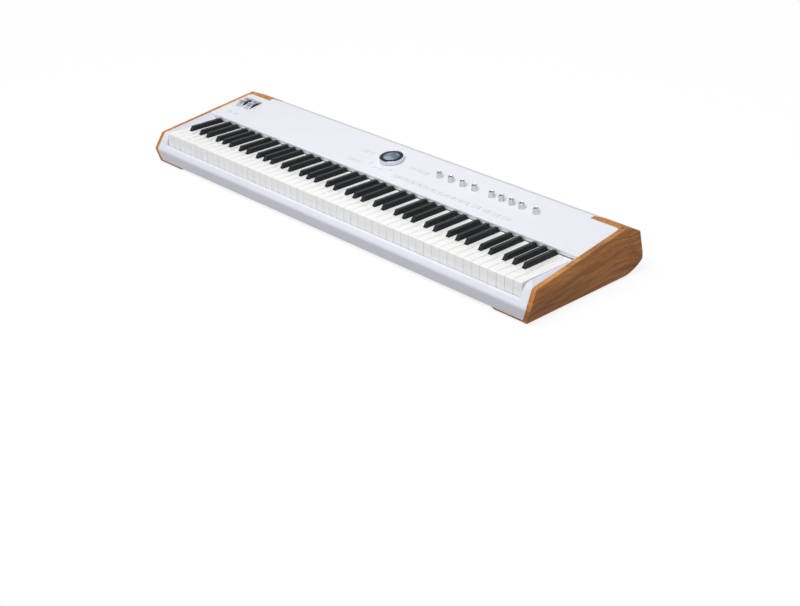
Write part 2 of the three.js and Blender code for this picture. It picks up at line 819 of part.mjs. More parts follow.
// Main board: sockets soldered in one row along its rear edge, standing on bosses of the case
const socketFace = ioFrontSetback + ioBoardDepth;
const switchBlockFace = socketFace - switchFlange - switchTravel - fit;
function socketBlock(x, width, height, depth, face = socketFace) {
  return block(x - width / 2, x + width / 2, face - depth, face, ioBoardHeight, socketHeight + height / 2);
}
function mainBoard() {
  const sheet = block(
    ioBoardEnds[0],
    ioBoardEnds[1],
    ioFrontSetback,
    socketFace,
    ioBoardHeight,
    ioBoardHeight + ioBoardSheet,
  );
  const bore = (x, radius, depth, faces, z = socketHeight) =>
    prismY(circle([x, z], radius, faces), socketFace - depth, rearmost);
  const jack = (x) =>
    socketBlock(x, jackWidth, jackHeight, jackDepth).subtract(bore(x, jackRadius, jackDepth - jackEnd, 12));
  const midi = (x) => {
    const pins = midiPinAngles.map((angle) =>
      bore(
        x + midiPinCircle * Math.cos(radians(angle)),
        midiPinRadius,
        midiPinDepth,
        6,
        socketHeight + midiPinCircle * Math.sin(radians(angle)),
      ),
    );
    return cut(socketBlock(x, jackWidth, jackHeight, jackDepth), pins);
  };
  const usb = (x) => {
    const mouth = block(
      x - usbWidth / 2,
      x + usbWidth / 2,
      socketFace - usbDepth,
      rearmost,
      socketHeight - usbHeight / 2,
      socketHeight + usbHeight / 2,
    );
    const tongue = block(
      x - usbWidth / 2 + usbTongue,
      x + usbWidth / 2 - usbTongue,
      socketFace - usbDepth - usbTongue,
      socketFace - usbTongue,
      socketHeight,
      socketHeight + usbHeight / 2 - usbTongue / 2,
    );
    return socketBlock(x, jackWidth, usbBlockHeight, jackDepth).subtract(mouth).add(tongue);
  };
  const inlet = socketBlock(inletX, jackWidth, usbBlockHeight, jackDepth)
    .subtract(bore(inletX, inletRadius, inletDepth, 12))
    .add(
      prismY(
        circle([inletX, socketHeight], inletPinRadius, 6),
        socketFace - inletDepth - usbTongue,
        socketFace - usbTongue,
      ),
    );
  const powerBlock = socketBlock(powerSwitchX, jackWidth, jackHeight, jackDepth, switchBlockFace).subtract(
    prismY(
      circle([powerSwitchX, socketHeight], shaftRadius + fit, 12),
      switchBlockFace - switchStemDepth - switchTravel - fit,
      rearmost,
    ),
  );
  return joined([sheet, ...jackX.map(jack), ...midiSockets.map(midi), ...usbX.map(usb), inlet, powerBlock]);
}
piece('main_board', mainBoard(), boardGreen);

// Power switch: a round cap behind the rear panel that is pushed in
const powerAxis = (from, to, radius, faces) =>
  prismY(circle([powerSwitchX, socketHeight], radius, faces), from, to);
piece(
  'power_switch',
  joined([
    powerAxis(socketFace - switchFlange, rearFaceAt(socketHeight) + switchCapRise, switchCapRadius, 16),
    powerAxis(socketFace - switchFlange, socketFace, switchCapRadius + switchFlange, 16),
    powerAxis(switchBlockFace - switchStemDepth, socketFace - switchFlange / 2, shaftRadius, 12),
  ]),
  darkPlastic,
);

// Keys: the octave in the middle is hinged, and the other keys at rest are joined to the pivot ridge
const octaveKeys = [
  { letter: 'c', blackShift: -pairShift },
  { letter: 'd', blackShift: pairShift },
  { letter: 'e' },
  { letter: 'f', blackShift: -tripleShift },
  { letter: 'g', blackShift: 0 },
  { letter: 'a', blackShift: tripleShift },
  { letter: 'b' },
];
const firstLetter = 5;
const hingedOctave = 4;
const isWhiteKey = (i) => i >= 0 && i < whiteKeyCount;
const octaveKey = (i) => octaveKeys[(i + firstLetter) % octaveKeys.length];
const octaveOf = (i) => Math.floor((i + firstLetter) / octaveKeys.length);
const blackCentre = (i) => (i + 1) * whitePitch - keyboardHalf + octaveKey(i).blackShift;
const hasBlackKey = (i) => isWhiteKey(i) && isWhiteKey(i + 1) && octaveKey(i).blackShift !== undefined;
const guideRailTop = keyTopHeight - guideRailDrop;
const pivotBore = prismX(
  circle([keyPivotSetback, keyUnderside], pivotRadius + fit, 16),
  -beltHalfWidth,
  beltHalfWidth,
);
const guideSlot = (x, setback) =>
  around(
    [x, setback],
    guidePostWidth + 2 * guideSideGap,
    guidePostDepth + 2 * guideEndGap,
    lowest,
    keyTopHeight - guideSlotDrop,
  );
const guidePost = (x, setback) =>
  around([x, setback], guidePostWidth, guidePostDepth, guideRailTop - frameSheet, keyTopHeight - guidePostDrop);
const whiteSection = [
  [0, keyTopHeight - keyFrontDepth],
  [keyFrontWall, keyTopHeight - keyFrontDepth],
  [keyFrontWall + keyFrontTaper, keyUnderside],
  [keyRearSetback, keyUnderside],
  [keyRearSetback, keyTopHeight],
  [keyEdge, keyTopHeight],
  [0, keyTopHeight - keyEdge],
];
function whiteKey(i) {
  const left = i * whitePitch - keyboardHalf + whiteGap / 2;
  const notches = [i - 1, i].filter(hasBlackKey).map((k) => {
    const half = blackWidth / 2 + blackGap;
    const front = blackFrontSetback - blackGap;
    return block(blackCentre(k) - half, blackCentre(k) + half, front, rearmost, lowest, highest);
  });
  return cut(prismX(whiteSection, left, left + whitePitch - whiteGap), notches);
}
function blackKey(i) {
  const x = blackCentre(i);
  const half = blackWidth / 2;
  const topHalf = blackTopWidth / 2;
  const tailTop = keyTopHeight - blackTailDrop;
  const rear = wallFootSetback + wallLean * wallFootRise - blackWallGap - fit;
  const lower = [x - half, x + half, blackFrontSetback, rear];
  const upper = [
    x - topHalf,
    x + topHalf,
    blackFrontSetback + blackFrontSlope,
    rear - wallLean * (blackHeight + blackTailDrop),
  ];
  return tapered(lower, upper, tailTop, keyTopHeight + blackHeight).add(
    block(x - half, x + half, blackFrontSetback, keyRearSetback, keyUnderside, tailTop),
  );
}
const keys = row(whiteKeyCount, 0, 1).flatMap((i) => {
  const { letter } = octaveKey(i);
  const hinged = octaveOf(i) === hingedOctave;
  const white = {
    name: `key_${letter}${octaveOf(i)}`,
    hinged,
    x: (i + 1 / 2) * whitePitch - keyboardHalf,
    guide: whiteGuideSetback,
    body: whiteKey(i),
    material: keyPlastic,
  };
  if (!hasBlackKey(i)) return [white];
  const black = {
    name: `key_${letter}_sharp${octaveOf(i)}`,
    hinged,
    x: blackCentre(i),
    guide: blackGuideSetback,
    body: blackKey(i),
    material: blackKeyPlastic,
  };
  return [white, black];
});
keys
  .filter((key) => key.hinged)
  .forEach(({ name, body, x, guide, material }) =>
    piece(name, cut(body, [pivotBore, guideSlot(x, guide)]), material),
  );

// Key frame: base sheet with two guide rails, the contact rail and the pivot rail with its round ridge
const contactBoardTop = keyTopHeight - contactBoardDrop;
const contactRailTop = contactBoardTop - contactSheet - fit;
function keyFrame() {
  const base = caseFloorHeight + fit;
  const bar = (from, to, top) => block(-keyboardHalf, keyboardHalf, from, to, base, top);
  const guideRail = (setback) =>
    bar(setback - guideRailDepth / 2, setback + guideRailDepth / 2, guideRailTop);
  const ridge = prismX(
    [
      ...arc([keyPivotSetback, keyUnderside], pivotRadius, 0, Math.PI, Math.PI / 4),
      [keyPivotSetback - pivotRadius, keyUnderside - 2 * pivotNeck],
      [keyPivotSetback + pivotRadius, keyUnderside - 2 * pivotNeck],
    ],
    -keyboardHalf,
    keyboardHalf,
  );
  return joined([
    bar(frameFrontSetback, keyPivotSetback + frameRearOverhang, base + frameSheet),
    guideRail(whiteGuideSetback),
    guideRail(blackGuideSetback),
    bar(contactRailFront, contactRailFront + contactRailDepth, contactRailTop),
    bar(
      keyPivotSetback - pivotRailDepth / 2,
      keyPivotSetback + pivotRailDepth / 2,
      keyUnderside - pivotNeck,
    ),
    ridge,
    ...keys.filter((key) => key.hinged).map(({ x, guide }) => guidePost(x, guide)),
    ...keys.filter((key) => !key.hinged).map(({ body }) => body),
  ]);
}
piece('key_frame', keyFrame(), keyPlastic);

// Contact board with its rubber contact strip, and the felt strip under the foot of the wall
const contactHalf = keyboardHalf - contactEndInset;
const contactMiddle = contactRailFront + contactRailDepth / 2;
piece(
  'contact_board',
  block(
    -contactHalf,
    contactHalf,
    contactRailFront,
    contactRailFront + contactRailDepth,
    contactBoardTop - contactSheet,
    contactBoardTop,
  ).add(
    block(
      -contactHalf,
      contactHalf,
      contactMiddle - contactStripWidth / 2,
      contactMiddle + contactStripWidth / 2,
      contactBoardTop - contactSheet / 2,
      contactBoardTop + contactStripHeight,
    ),
  ),
  boardGreen,
);
piece(
  'key_felt',
  block(
    -keyboardHalf,
    keyboardHalf,
    wallFootSetback,
    wallFootSetback + feltThickness,
    keyTopHeight + feltRise,
    wallFootHeight - fit,
  ),
  feltOrange,
);

// Control board under the deck: the pots and switches are soldered to it and reach the deck
const boardTop = -boardDrop;
const underDeck = -deckSheet - fit;
const switchTop = underDeck - buttonFlangeHeight - buttonTravel - fit;
function controlBoard() {
  const left = leftButtonX - softButtonWidth / 2 - boardMargin;
  const right = lastKnobX + potSize / 2 + boardMargin;
  const front = frontRowSetback - buttonDepth / 2 - matMargin;
  const rear = dialSetback + dialSleeveRadius + matMargin;
  const sheet = block(left, right, front, rear, boardTop - boardSheet, boardTop);
  const low = boardTop - boardSheet / 2;
  const pot = (x) =>
    around([x, knobSetback], potSize, potSize, low, underDeck).subtract(
      prismZ(circle([x, knobSetback], shaftRadius + fit, 12), boardTop + fit, overrun),
    );
  const keySwitch = ({ x }) => around([x, frontRowSetback], switchSize, switchSize, low, switchTop);
  return joined([sheet, ...knobX.map(pot), ...rowButtons.map(keySwitch)]);
}
piece('control_board', controlBoard(), boardGreen, deck);

// Row buttons: bevelled caps, each with a flange that holds it under the deck
rowButtons.forEach(({ x, width }, k) => {
  const halfWidth = width / 2;
  const halfDepth = buttonDepth / 2;
  const rim = [-halfWidth, halfWidth, -halfDepth, halfDepth];
  const top = [
    -halfWidth + buttonBevel,
    halfWidth - buttonBevel,
    -halfDepth + buttonBevel,
    halfDepth - buttonBevel,
  ];
  const cap = joined([
    block(...rim, underDeck - buttonFlangeHeight, buttonRise - buttonBevel),
    tapered(rim, top, buttonRise - buttonBevel, buttonRise),
    around([0, 0], width + 2 * buttonFlange, buttonDepth + 2 * buttonFlange, underDeck - buttonFlangeHeight, underDeck),
  ]);
  piece(`row_button_${k + 1}`, cap, softWhite, deck).position.set(x, frontRowSetback, 0);
});

// Soft buttons: caps moulded on one mat that lies on the control board round the dial
const matFloor = boardTop + fit;
function buttonMat() {
  const capBottom = matFloor + matSheet / 2;
  const caps = [
    ...softButtons.map((centre) =>
      around(centre, softButtonWidth, softButtonDepth, capBottom, softButtonRise),
    ),
    ...roundButtons.map((centre) => prismZ(circle(centre, roundButtonRadius, 12), capBottom, softButtonRise)),
  ];
  const left = leftButtonX - softButtonWidth / 2 - matMargin;
  const front = frontRowSetback - softButtonDepth / 2 - matMargin;
  const rear = rearRowSetback + softButtonDepth / 2 + matMargin;
  const bridge = rightButtonX - rowButtonWidth / 2 - matMargin;
  const right = rightButtonX + 2 * softButtonPitch + softButtonWidth / 2 + matMargin;
  const rightFront = rearRowSetback - softButtonDepth / 2 - matMargin;
  const sheet = prismZ(
    [
      [left, front],
      [bridge, front],
      [bridge, rightFront],
      [right, rightFront],
      [right, rear],
      [left, rear],
    ],
    matFloor,
    matFloor + matSheet,
  );
  const dialHole = prismZ(
    circle([dialX, dialSetback], dialSleeveRadius + matMargin, dialFaces / 2),
    lowest,
    overrun,
  );
  return joined([sheet.subtract(dialHole), ...caps]);
}
piece('button_mat', buttonMat(), softWhite, deck);

// Knobs: a flared foot, a straight grip and a dished top, on a shaft that turns in its pot
const knobProfile = [
  [0, boardTop + 2 * fit],
  [shaftRadius, boardTop + 2 * fit],
  [shaftRadius, surfaceGap],
  [knobBaseRadius, surfaceGap],
  [knobBaseRadius, surfaceGap + knobFoot],
  [knobWaistRadius, surfaceGap + knobFoot + knobFlare],
  [knobTopRadius, knobHeight - knobEdge],
  [knobTopRadius - knobEdge, knobHeight],
  [0, knobHeight - knobDish],
];
knobX.forEach((x, k) => {
  piece(`knob_${k + 1}`, turned(knobProfile, knobFaces), satinSilver, deck).position.set(x, knobSetback, 0);
});

// Dial: a ring that turns round the fixed display, on a sleeve that reaches the control board
const lensTop = dialHeight - fit;
const lensBottom = lensTop - lensThickness;
const dialFloor = lensBottom - fit;
const dialInner = dialRadius - dialRim;
const dialBore = dialSleeveRadius - dialSleeveWall;
const dialProfile = [
  [dialSleeveRadius, boardTop + fit],
  [dialSleeveRadius, surfaceGap],
  [dialRadius, surfaceGap],
  [dialRadius, dialHeight - dialEdge],
  [dialRadius - dialEdge, dialHeight],
  [dialInner, dialHeight],
  [dialInner, dialFloor],
  [dialBore, dialFloor],
  [dialBore, boardTop + fit],
];
piece(
  'dial_ring',
  turned([...dialProfile, dialProfile[0]], dialFaces),
  satinSilver,
  deck,
).position.set(dialX, dialSetback, 0);
piece(
  'display_module',
  prismZ(circle([0, 0], dialBore - surfaceGap, dialFaces / 2), boardTop + fit, lensBottom - fit),
  darkPlastic,
  deck,
).position.set(dialX, dialSetback, 0);
const lensRadius = dialInner - fit;
const lensProfile = [
  [0, lensBottom],
  [lensRadius, lensBottom],
  [lensRadius, lensTop - lensEdge],
  [lensRadius - lensEdge, lensTop],
  [0, lensTop],
];
piece('display_lens', turned(lensProfile, dialFaces), darkGlass, deck).position.set(dialX, dialSetback, 0);

// Pitch and modulation wheels: drums with a thumb hollow, turning on the housing's axle
const wheelOutline = circle([0, 0], wheelRadius, wheelFaces);
const thumb = circle([0, wheelRadius + thumbRadius - thumbDepth], thumbRadius, 24);
const wheelBody = cut(prismX(wheelOutline, -wheelWidth / 2, wheelWidth / 2), [
  prismX(thumb, -overrun, overrun),
  prismX(circle([0, 0], axleRadius + fit, 16), -overrun, overrun),
]);
wheels.forEach(({ name, x }) => {
  piece(name, wheelBody, satinSilver, deck).position.set(x, wheelAxleSetback, -wheelAxleDrop);
});

// Wheel housing: three walls, a floor and the axle, with a shelf in front for the octave mat
const shelfTop = underDeck - shelfDrop;
function wheelHousing() {
  const gap = wheelWidth / 2 + wheelGap;
  const middle = (wheels[0].x + wheels[1].x) / 2;
  const walls = [wheels[0].x - gap - housingWall, middle - housingWall / 2, wheels[1].x + gap];
  const from = wheelAxleSetback - wheelRadius + housingTrim;
  const to = wheelAxleSetback + wheelRadius - housingTrim;
  const floor = -wheelAxleDrop - wheelRadius - housingFloorGap;
  const left = walls[0];
  const right = walls[2] + housingWall;
  const shelfRight = octaveX[1] + octaveButtonWidth / 2 + matMargin;
  const side = [
    [from, underDeck],
    [from, -wheelAxleDrop],
    [from + wheelRadius / 2, floor - housingWall],
    [to - wheelRadius / 2, floor - housingWall],
    [to, -wheelAxleDrop],
    [to, underDeck],
  ];
  return joined([
    ...walls.map((x) => prismX(side, x, x + housingWall)),
    block(left, right, from + wheelRadius / 2, to - wheelRadius / 2, floor - housingWall, floor),
    prismX(circle([wheelAxleSetback, -wheelAxleDrop], axleRadius, 16), left, right),
    block(left, Math.max(right, shelfRight), shelfFrontSetback, from, shelfTop - shelfSheet, shelfTop),
    block(left, right, from - housingWall, from, shelfTop - shelfSheet, underDeck),
  ]);
}
piece('wheel_housing', wheelHousing(), darkPlastic, deck);
function octaveMat() {
  const floor = shelfTop + fit;
  const caps = octaveX.map((x) =>
    around([x, octaveSetback], octaveButtonWidth, octaveButtonDepth, floor + matSheet / 2, softButtonRise),
  );
  const sheet = block(
    octaveX[0] - octaveButtonWidth / 2 - matMargin / 2,
    octaveX[1] + octaveButtonWidth / 2 + matMargin,
    octaveSetback - octaveButtonDepth / 2 - matMargin / 2,
    octaveSetback + octaveButtonDepth / 2 + matMargin,
    floor,
    floor + matSheet,
  );
  return joined([sheet, ...caps]);
}
piece('octave_mat', octaveMat(), softWhite, deck);

// Rubber feet under the wooden base flanges
const footProfile = [
  [0, 0],
  [footRadius - footWaist, 0],
  [footRadius, footWaist],
  [footRadius, footHeight - fit],
  [0, footHeight - fit],
];
const footX = beltHalfWidth - footInset;
[
  ['front_left', -footX, frontFootSetback],
  ['front_right', footX, frontFootSetback],
  ['rear_left', -footX, heelSetback - rearFootLead],
  ['rear_right', footX, heelSetback - rearFootLead],
].forEach(([place, x, y]) => {
  piece(`foot_${place}`, turned(footProfile, 20), rubberBlack).position.set(x, y, 0);
});

// The origin is on the floor under the middle of the body
const bodySetbacks = bodyOutline.map(([y]) => y);
piano.position.set(0, -(Math.min(...bodySetbacks) + Math.max(...bodySetbacks)) / 2, 0);

export default piano;
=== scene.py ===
import bmesh
import bpy
import numpy as np
from mathutils import Matrix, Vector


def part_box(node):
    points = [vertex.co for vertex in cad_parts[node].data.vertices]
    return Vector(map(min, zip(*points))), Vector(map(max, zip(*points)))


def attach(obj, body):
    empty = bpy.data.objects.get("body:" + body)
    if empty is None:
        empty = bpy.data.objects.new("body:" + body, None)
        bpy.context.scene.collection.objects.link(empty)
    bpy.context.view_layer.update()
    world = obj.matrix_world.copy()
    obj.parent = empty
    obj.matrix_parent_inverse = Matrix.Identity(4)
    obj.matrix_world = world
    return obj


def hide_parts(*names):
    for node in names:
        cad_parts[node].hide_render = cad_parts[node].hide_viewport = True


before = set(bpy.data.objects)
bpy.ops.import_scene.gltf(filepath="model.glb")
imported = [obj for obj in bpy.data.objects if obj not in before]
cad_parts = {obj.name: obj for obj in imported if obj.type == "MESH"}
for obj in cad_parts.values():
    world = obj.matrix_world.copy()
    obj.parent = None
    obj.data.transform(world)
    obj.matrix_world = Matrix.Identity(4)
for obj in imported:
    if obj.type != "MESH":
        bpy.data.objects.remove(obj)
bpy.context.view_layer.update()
mm = 0.001

# Camera: stands in front of the treble end and looks along the keys towards the bass end. The angles are in
# radians: turned to the left from straight ahead, tilted down, and rolled about the line of sight.
camera_place = np.array([2233.3, -2037.4, 1296.9]) * mm
camera_turn = 0.81291
camera_tilt = 0.47114
camera_roll = -0.00626
look = np.array(
    [
        -np.sin(camera_turn) * np.cos(camera_tilt),
        np.cos(camera_turn) * np.cos(camera_tilt),
        -np.sin(camera_tilt),
    ]
)
level = np.array([np.cos(camera_turn), np.sin(camera_turn), 0.0])
rise = np.cross(level, look)
across = np.cos(camera_roll) * level + np.sin(camera_roll) * rise
upward = np.cos(camera_roll) * rise - np.sin(camera_roll) * level
camera = bpy.data.objects.new("camera", bpy.data.cameras.new("camera"))
camera.data.sensor_width = 36.0
camera.data.lens = 61.77
camera.data.clip_end = 60.0
turn = Matrix(np.column_stack([across, upward, -look]).tolist()).to_4x4()
camera.matrix_world = Matrix.Translation(camera_place.tolist()) @ turn
bpy.context.scene.collection.objects.link(camera)
bpy.context.scene.camera = camera
bpy.context.scene.view_settings.view_transform = "Standard"

# Studio: a broad soft light high in front of the piano, a softbox over its middle that makes both ends a
# little dimmer, a pale room and a white sweep as the floor. The room and the floor are plain white to the
# camera, to gloss and through glass; gloss alone also finds the unlit ceiling beside a strip of light.


def colour(code):
    """The linear colour of a written one such as E8EAF2: each share is raised as the screen's curve says."""
    shares = np.array([int(code[i : i + 2], 16) / 255 for i in (0, 2, 4)])
    linear = np.where(shares <= 0.04045, shares / 12.92, ((shares + 0.055) / 1.055) ** 2.4)
    return (*linear.tolist(), 1.0)


class Nodes:
    """A node tree that is filled by short calls."""

    def __init__(self, tree):
        self.tree = tree

    def join(self, value, socket):
        """A socket linked to another one, or set to a plain value."""
        if isinstance(value, bpy.types.NodeSocket):
            self.tree.links.new(value, socket)
        else:
            socket.default_value = value

    def node(self, kind, links=(), **settings):
        """A node of a kind, its settings set by name, its sockets joined by name or number."""
        made = self.tree.nodes.new("ShaderNode" + kind)
        for key, value in settings.items():
            setattr(made, key, value)
        for key, value in dict(links).items():
            self.join(value, made.inputs[key])
        return made

    def math(self, operation, first, second=0.0, clamp=False):
        """Two values combined by one operation, held between 0 and 1 where clamp says so."""
        return self.node("Math", {0: first, 1: second}, operation=operation, use_clamp=clamp).outputs[0]

    def vector(self, operation, first, second=(0.0, 0.0, 0.0)):
        """Two vectors combined by one operation; a length or a dot product is a single value."""
        made = self.node("VectorMath", {0: first, 1: second}, operation=operation)
        return made.outputs["Value" if operation in ("LENGTH", "DOT_PRODUCT") else "Vector"]

    def between(self, value, low, high, start=0.0, end=1.0):
        """A value's share of the way from start to end, carried onto the range from low to high."""
        links = {"Value": value, "From Min": start, "From Max": end, "To Min": low, "To Max": high}
        return self.node("MapRange", links).outputs[0]


class Paint(Nodes):
    """A new material, with calls for patterns and for the finish."""

    def __init__(self, name):
        self.material = bpy.data.materials.new(name)
        self.material.use_nodes = True
        super().__init__(self.material.node_tree)
        self.tree.nodes.clear()
        self.output = self.node("OutputMaterial")

    def place(self, scale=(1, 1, 1), location=(0, 0, 0)):
        """Object coordinates, stretched along each axis and then shifted."""
        where = self.node("TexCoord").outputs["Object"]
        return self.node("Mapping", {0: where, "Location": location, "Scale": scale}).outputs[0]

    def noise(self, where, scale, detail=4.0, distortion=0.0):
        """A cloudy value from 0 to 1."""
        links = {"Vector": where, "Scale": scale, "Detail": detail, "Distortion": distortion}
        return self.node("TexNoise", links).outputs["Fac"]

    def ramp(self, value, stops):
        """A value turned into colours by stops of place and colour."""
        made = self.node("ValToRGB", {0: value})
        band = made.color_ramp.elements
        while len(band) < len(stops):
            band.new(0.5)
        for element, (place, shade) in zip(band, stops):
            element.position = place
            element.color = shade
        return made.outputs[0]

    def mix(self, factor, first, second, way="MIX"):
        """Two colours mixed by a factor."""
        links = {0: factor, 6: first, 7: second}
        return self.node("Mix", links, data_type="RGBA", blend_type=way).outputs[2]

    def bump(self, height, depth, strength=1.0):
        """A surface raised by a value of 0 to 1 times a depth in metres."""
        return self.node("Bump", {"Height": height, "Distance": depth, "Strength": strength}).outputs[0]

    def surface(self, **values):
        """The finish: sockets by name, with an underscore for each space."""
        links = {key.replace("_", " "): value for key, value in values.items()}
        self.join(self.node("BsdfPrincipled", links).outputs[0], self.output.inputs[0])
        return self.material


def seen_directly(nodes):
    """1 for the camera, for gloss and for glass, and 0 for the light that surfaces share."""
    ray = nodes.node("LightPath").outputs
    camera_or_gloss = nodes.math("ADD", ray["Is Camera Ray"], ray["Is Glossy Ray"], clamp=True)
    return nodes.math("ADD", camera_or_gloss, ray["Is Transmission Ray"], clamp=True)


shared_light = 0.3
ceiling_start = 0.58
ceiling_full = 0.7
ceiling_dimming = 0.96
strip_sharpness = 11.0
room = bpy.data.worlds.new("room")
bpy.context.scene.world = room
room.use_nodes = True
room_light = room.node_tree.nodes["Background"]
room_light.inputs["Color"].default_value = (1.0, 1.0, 1.0, 1.0)
sky = Nodes(room.node_tree)
direction = sky.node("TexCoord").outputs["Generated"]
sky_height = sky.node("SeparateXYZ", {0: direction}).outputs["Z"]
ceiling = sky.between(sky_height, 0.0, ceiling_dimming, ceiling_start, ceiling_full)
sideways = sky.math("ABSOLUTE", sky.vector("DOT_PRODUCT", direction, level.tolist()))
beside_strip = sky.math("MULTIPLY", sideways, strip_sharpness, clamp=True)
ceiling_in_gloss = sky.math("MULTIPLY", ceiling, sky.node("LightPath").outputs["Is Glossy Ray"])
room_level = sky.between(seen_directly(sky), shared_light, 1.0)
unlit = sky.math("MULTIPLY", ceiling_in_gloss, beside_strip)
sky.join(sky.math("SUBTRACT", room_level, unlit), room_light.inputs["Strength"])


def hung_lamp(name, kind, away, reach, target):
    """A lamp at a reach from a target along a direction, turned to face the target."""
    made = bpy.data.objects.new(name, bpy.data.lights.new(name, kind))
    away = np.array(away) / np.linalg.norm(away)
    side = np.cross([0.0, 1.0, 0.0], away)
    side /= np.linalg.norm(side)
    facing = Matrix(np.column_stack([side, np.cross(away, side), away]).tolist()).to_4x4()
    made.matrix_world = Matrix.Translation((np.array(target) + reach * away).tolist()) @ facing
    bpy.context.scene.collection.objects.link(made)
    return made


key_light = hung_lamp("key_light", "SUN", (0.22, -0.55, 0.81), 3.0, (0.0, 0.0, 0.0))
key_light.data.energy = 1.86
key_light.data.angle = np.radians(42)
softbox = hung_lamp("softbox", "AREA", (0.1, -0.52, 0.85), 1.44, (0.0, 0.05, 0.1))
softbox.data.shape = "DISK"
softbox.data.size = 0.9
softbox.data.energy = 5.8
softbox.visible_camera = False

floor_reach = 30.0
floor_glow = 1.05
glow_share = 0.8
floor_paint = Paint("white_sweep")
grey_floor = floor_paint.node("BsdfDiffuse", {"Color": (0.2, 0.2, 0.21, 1.0)}).outputs[0]
lit_floor = floor_paint.node("BsdfDiffuse", {"Color": (0.95, 0.95, 0.95, 1.0)}).outputs[0]
glow = {"Color": (1.0, 1.0, 1.0, 1.0), "Strength": floor_glow}
bright_floor = floor_paint.node("Emission", glow).outputs[0]
shown = {0: glow_share, 1: lit_floor, 2: bright_floor}
shown_floor = floor_paint.node("MixShader", shown).outputs[0]
by_ray = {0: seen_directly(floor_paint), 1: grey_floor, 2: shown_floor}
floor_paint.join(floor_paint.node("MixShader", by_ray).outputs[0], floor_paint.output.inputs[0])
floor_mesh = bpy.data.meshes.new("floor")
floor_corners = floor_reach * np.array([[-1, -1, 0], [1, -1, 0], [1, 1, 0], [-1, 1, 0]])
floor_mesh.from_pydata(floor_corners.tolist(), [], [[0, 1, 2, 3]])
floor_mesh.materials.append(floor_paint.material)
floor = bpy.data.objects.new("floor", floor_mesh)
bpy.context.scene.collection.objects.link(floor)

# Body envelope: the outline of the whole piano seen from its end, with the sides leaning in above and
# below a belt. The wooden panels, the front rail and the cheeks are all cut to this one form.
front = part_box("key_c4")[0].y
belt_height = 38.9 * mm
belt_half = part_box("right_side_panel")[1].x
upper_lean = 10.7 / 82.3
lower_lean = 12.5 / 33.9
toe, heel, shoulder, ridge, lip, nose = (
    np.array([front + y * mm, z * mm])
    for y, z in ((-11.5, 5.0), (353.3, 5.0), (342.0, 102.4), (299.0, 121.2), (5.0, 79.1), (-17.6, 38.9))
)


def side_at(height):
    """The half width of the piano at a height: the belt's, less the lean times the distance from the belt."""
    away = height - belt_height
    return belt_half - np.where(away > 0, upper_lean * away, -lower_lean * away)


def rounded(corners, radii, step=6.0, points_each=0):
    """A closed outline whose corners are arcs that touch both sides. Each arc's centre is on the bisector,
    at the radius over the sine of half the corner's angle. An arc has a point for each step of degrees,
    or points_each points."""
    points = []
    corners = np.asarray(corners, float)
    for before, corner, after, radius in zip(np.roll(corners, 1, 0), corners, np.roll(corners, -1, 0), radii):
        if radius <= 0:
            points.append(corner[None])
            continue
        back = (before - corner) / np.linalg.norm(before - corner)
        ahead = (after - corner) / np.linalg.norm(after - corner)
        half = np.arccos(np.clip(back @ ahead, -1, 1)) / 2
        centre = corner + (back + ahead) / np.linalg.norm(back + ahead) * radius / np.sin(half)
        start = corner + back * radius / np.tan(half) - centre
        turn = np.sign(ahead[0] * back[1] - ahead[1] * back[0]) * (np.pi - 2 * half)
        count = points_each or max(2, int(np.ceil(abs(np.degrees(turn)) / step - 1e-6)) + 1)
        angles = np.arctan2(start[1], start[0]) + np.linspace(0, turn, count)
        points.append(centre + radius * np.column_stack([np.cos(angles), np.sin(angles)]))
    return np.concatenate(points)


def inset(outline, depth):
    """An outline moved inwards: each corner goes along the bisector so that both sides move by the depth."""
    before = outline - np.roll(outline, 1, 0)
    after = np.roll(outline, -1, 0) - outline
    before /= np.linalg.norm(before, axis=1, keepdims=True)
    after /= np.linalg.norm(after, axis=1, keepdims=True)
    left = np.column_stack([-before[:, 1], before[:, 0]]) + np.column_stack([-after[:, 1], after[:, 0]])
    share = 1 + np.sum(before * after, axis=1, keepdims=True)
    return outline + np.reshape(depth, (-1, 1)) * left / share


def rows_between(low, high, low_radius, high_radius, arcs=4, margin=0.4 * mm):
    """Pairs of inset and height from one flat end to the other: a quarter arc of each radius rounds the
    end's edge, and a last row on each end lies in by the margin."""
    quarter = np.linspace(0, np.pi / 2, arcs + 1)
    under = [(low_radius * (1 - np.sin(a)), low + low_radius * (1 - np.cos(a))) for a in quarter]
    over = [(high_radius * (1 - np.cos(a)), high - high_radius * (1 - np.sin(a))) for a in quarter]
    return np.array([(low_radius + margin, low), *under, *over, (high_radius + margin, high)])


def shell(grid, caps=True):
    """Four-sided faces between the rows of a grid of points, round each row, with a face at both ends."""
    rows, columns = grid.shape[:2]
    near = np.arange(rows * columns).reshape(rows, columns)
    far = np.roll(near, -1, axis=1)
    faces = np.stack([near[:-1], far[:-1], far[1:], near[1:]], axis=-1).reshape(-1, 4).tolist()
    if caps:
        faces += [near[0][::-1].tolist(), near[-1].tolist()]
    return grid.reshape(-1, 3), faces


def stacked(outline, rows):
    """A closed shell: the outline moved in by each row's inset and set at that row's height."""
    count = len(outline)
    layers = [np.column_stack([inset(outline, depth), np.full(count, height)]) for depth, height in rows]
    return shell(np.array(layers))


def along_x(made):
    """A shell stacked upwards laid on its side, so that its outline is in y and z and its height along x."""
    points, faces = made
    return points[:, [2, 0, 1]], faces


def mirrored(made):
    """A shell on the other side of the middle: each x times -1."""
    points, faces = made
    return points * [-1, 1, 1], faces


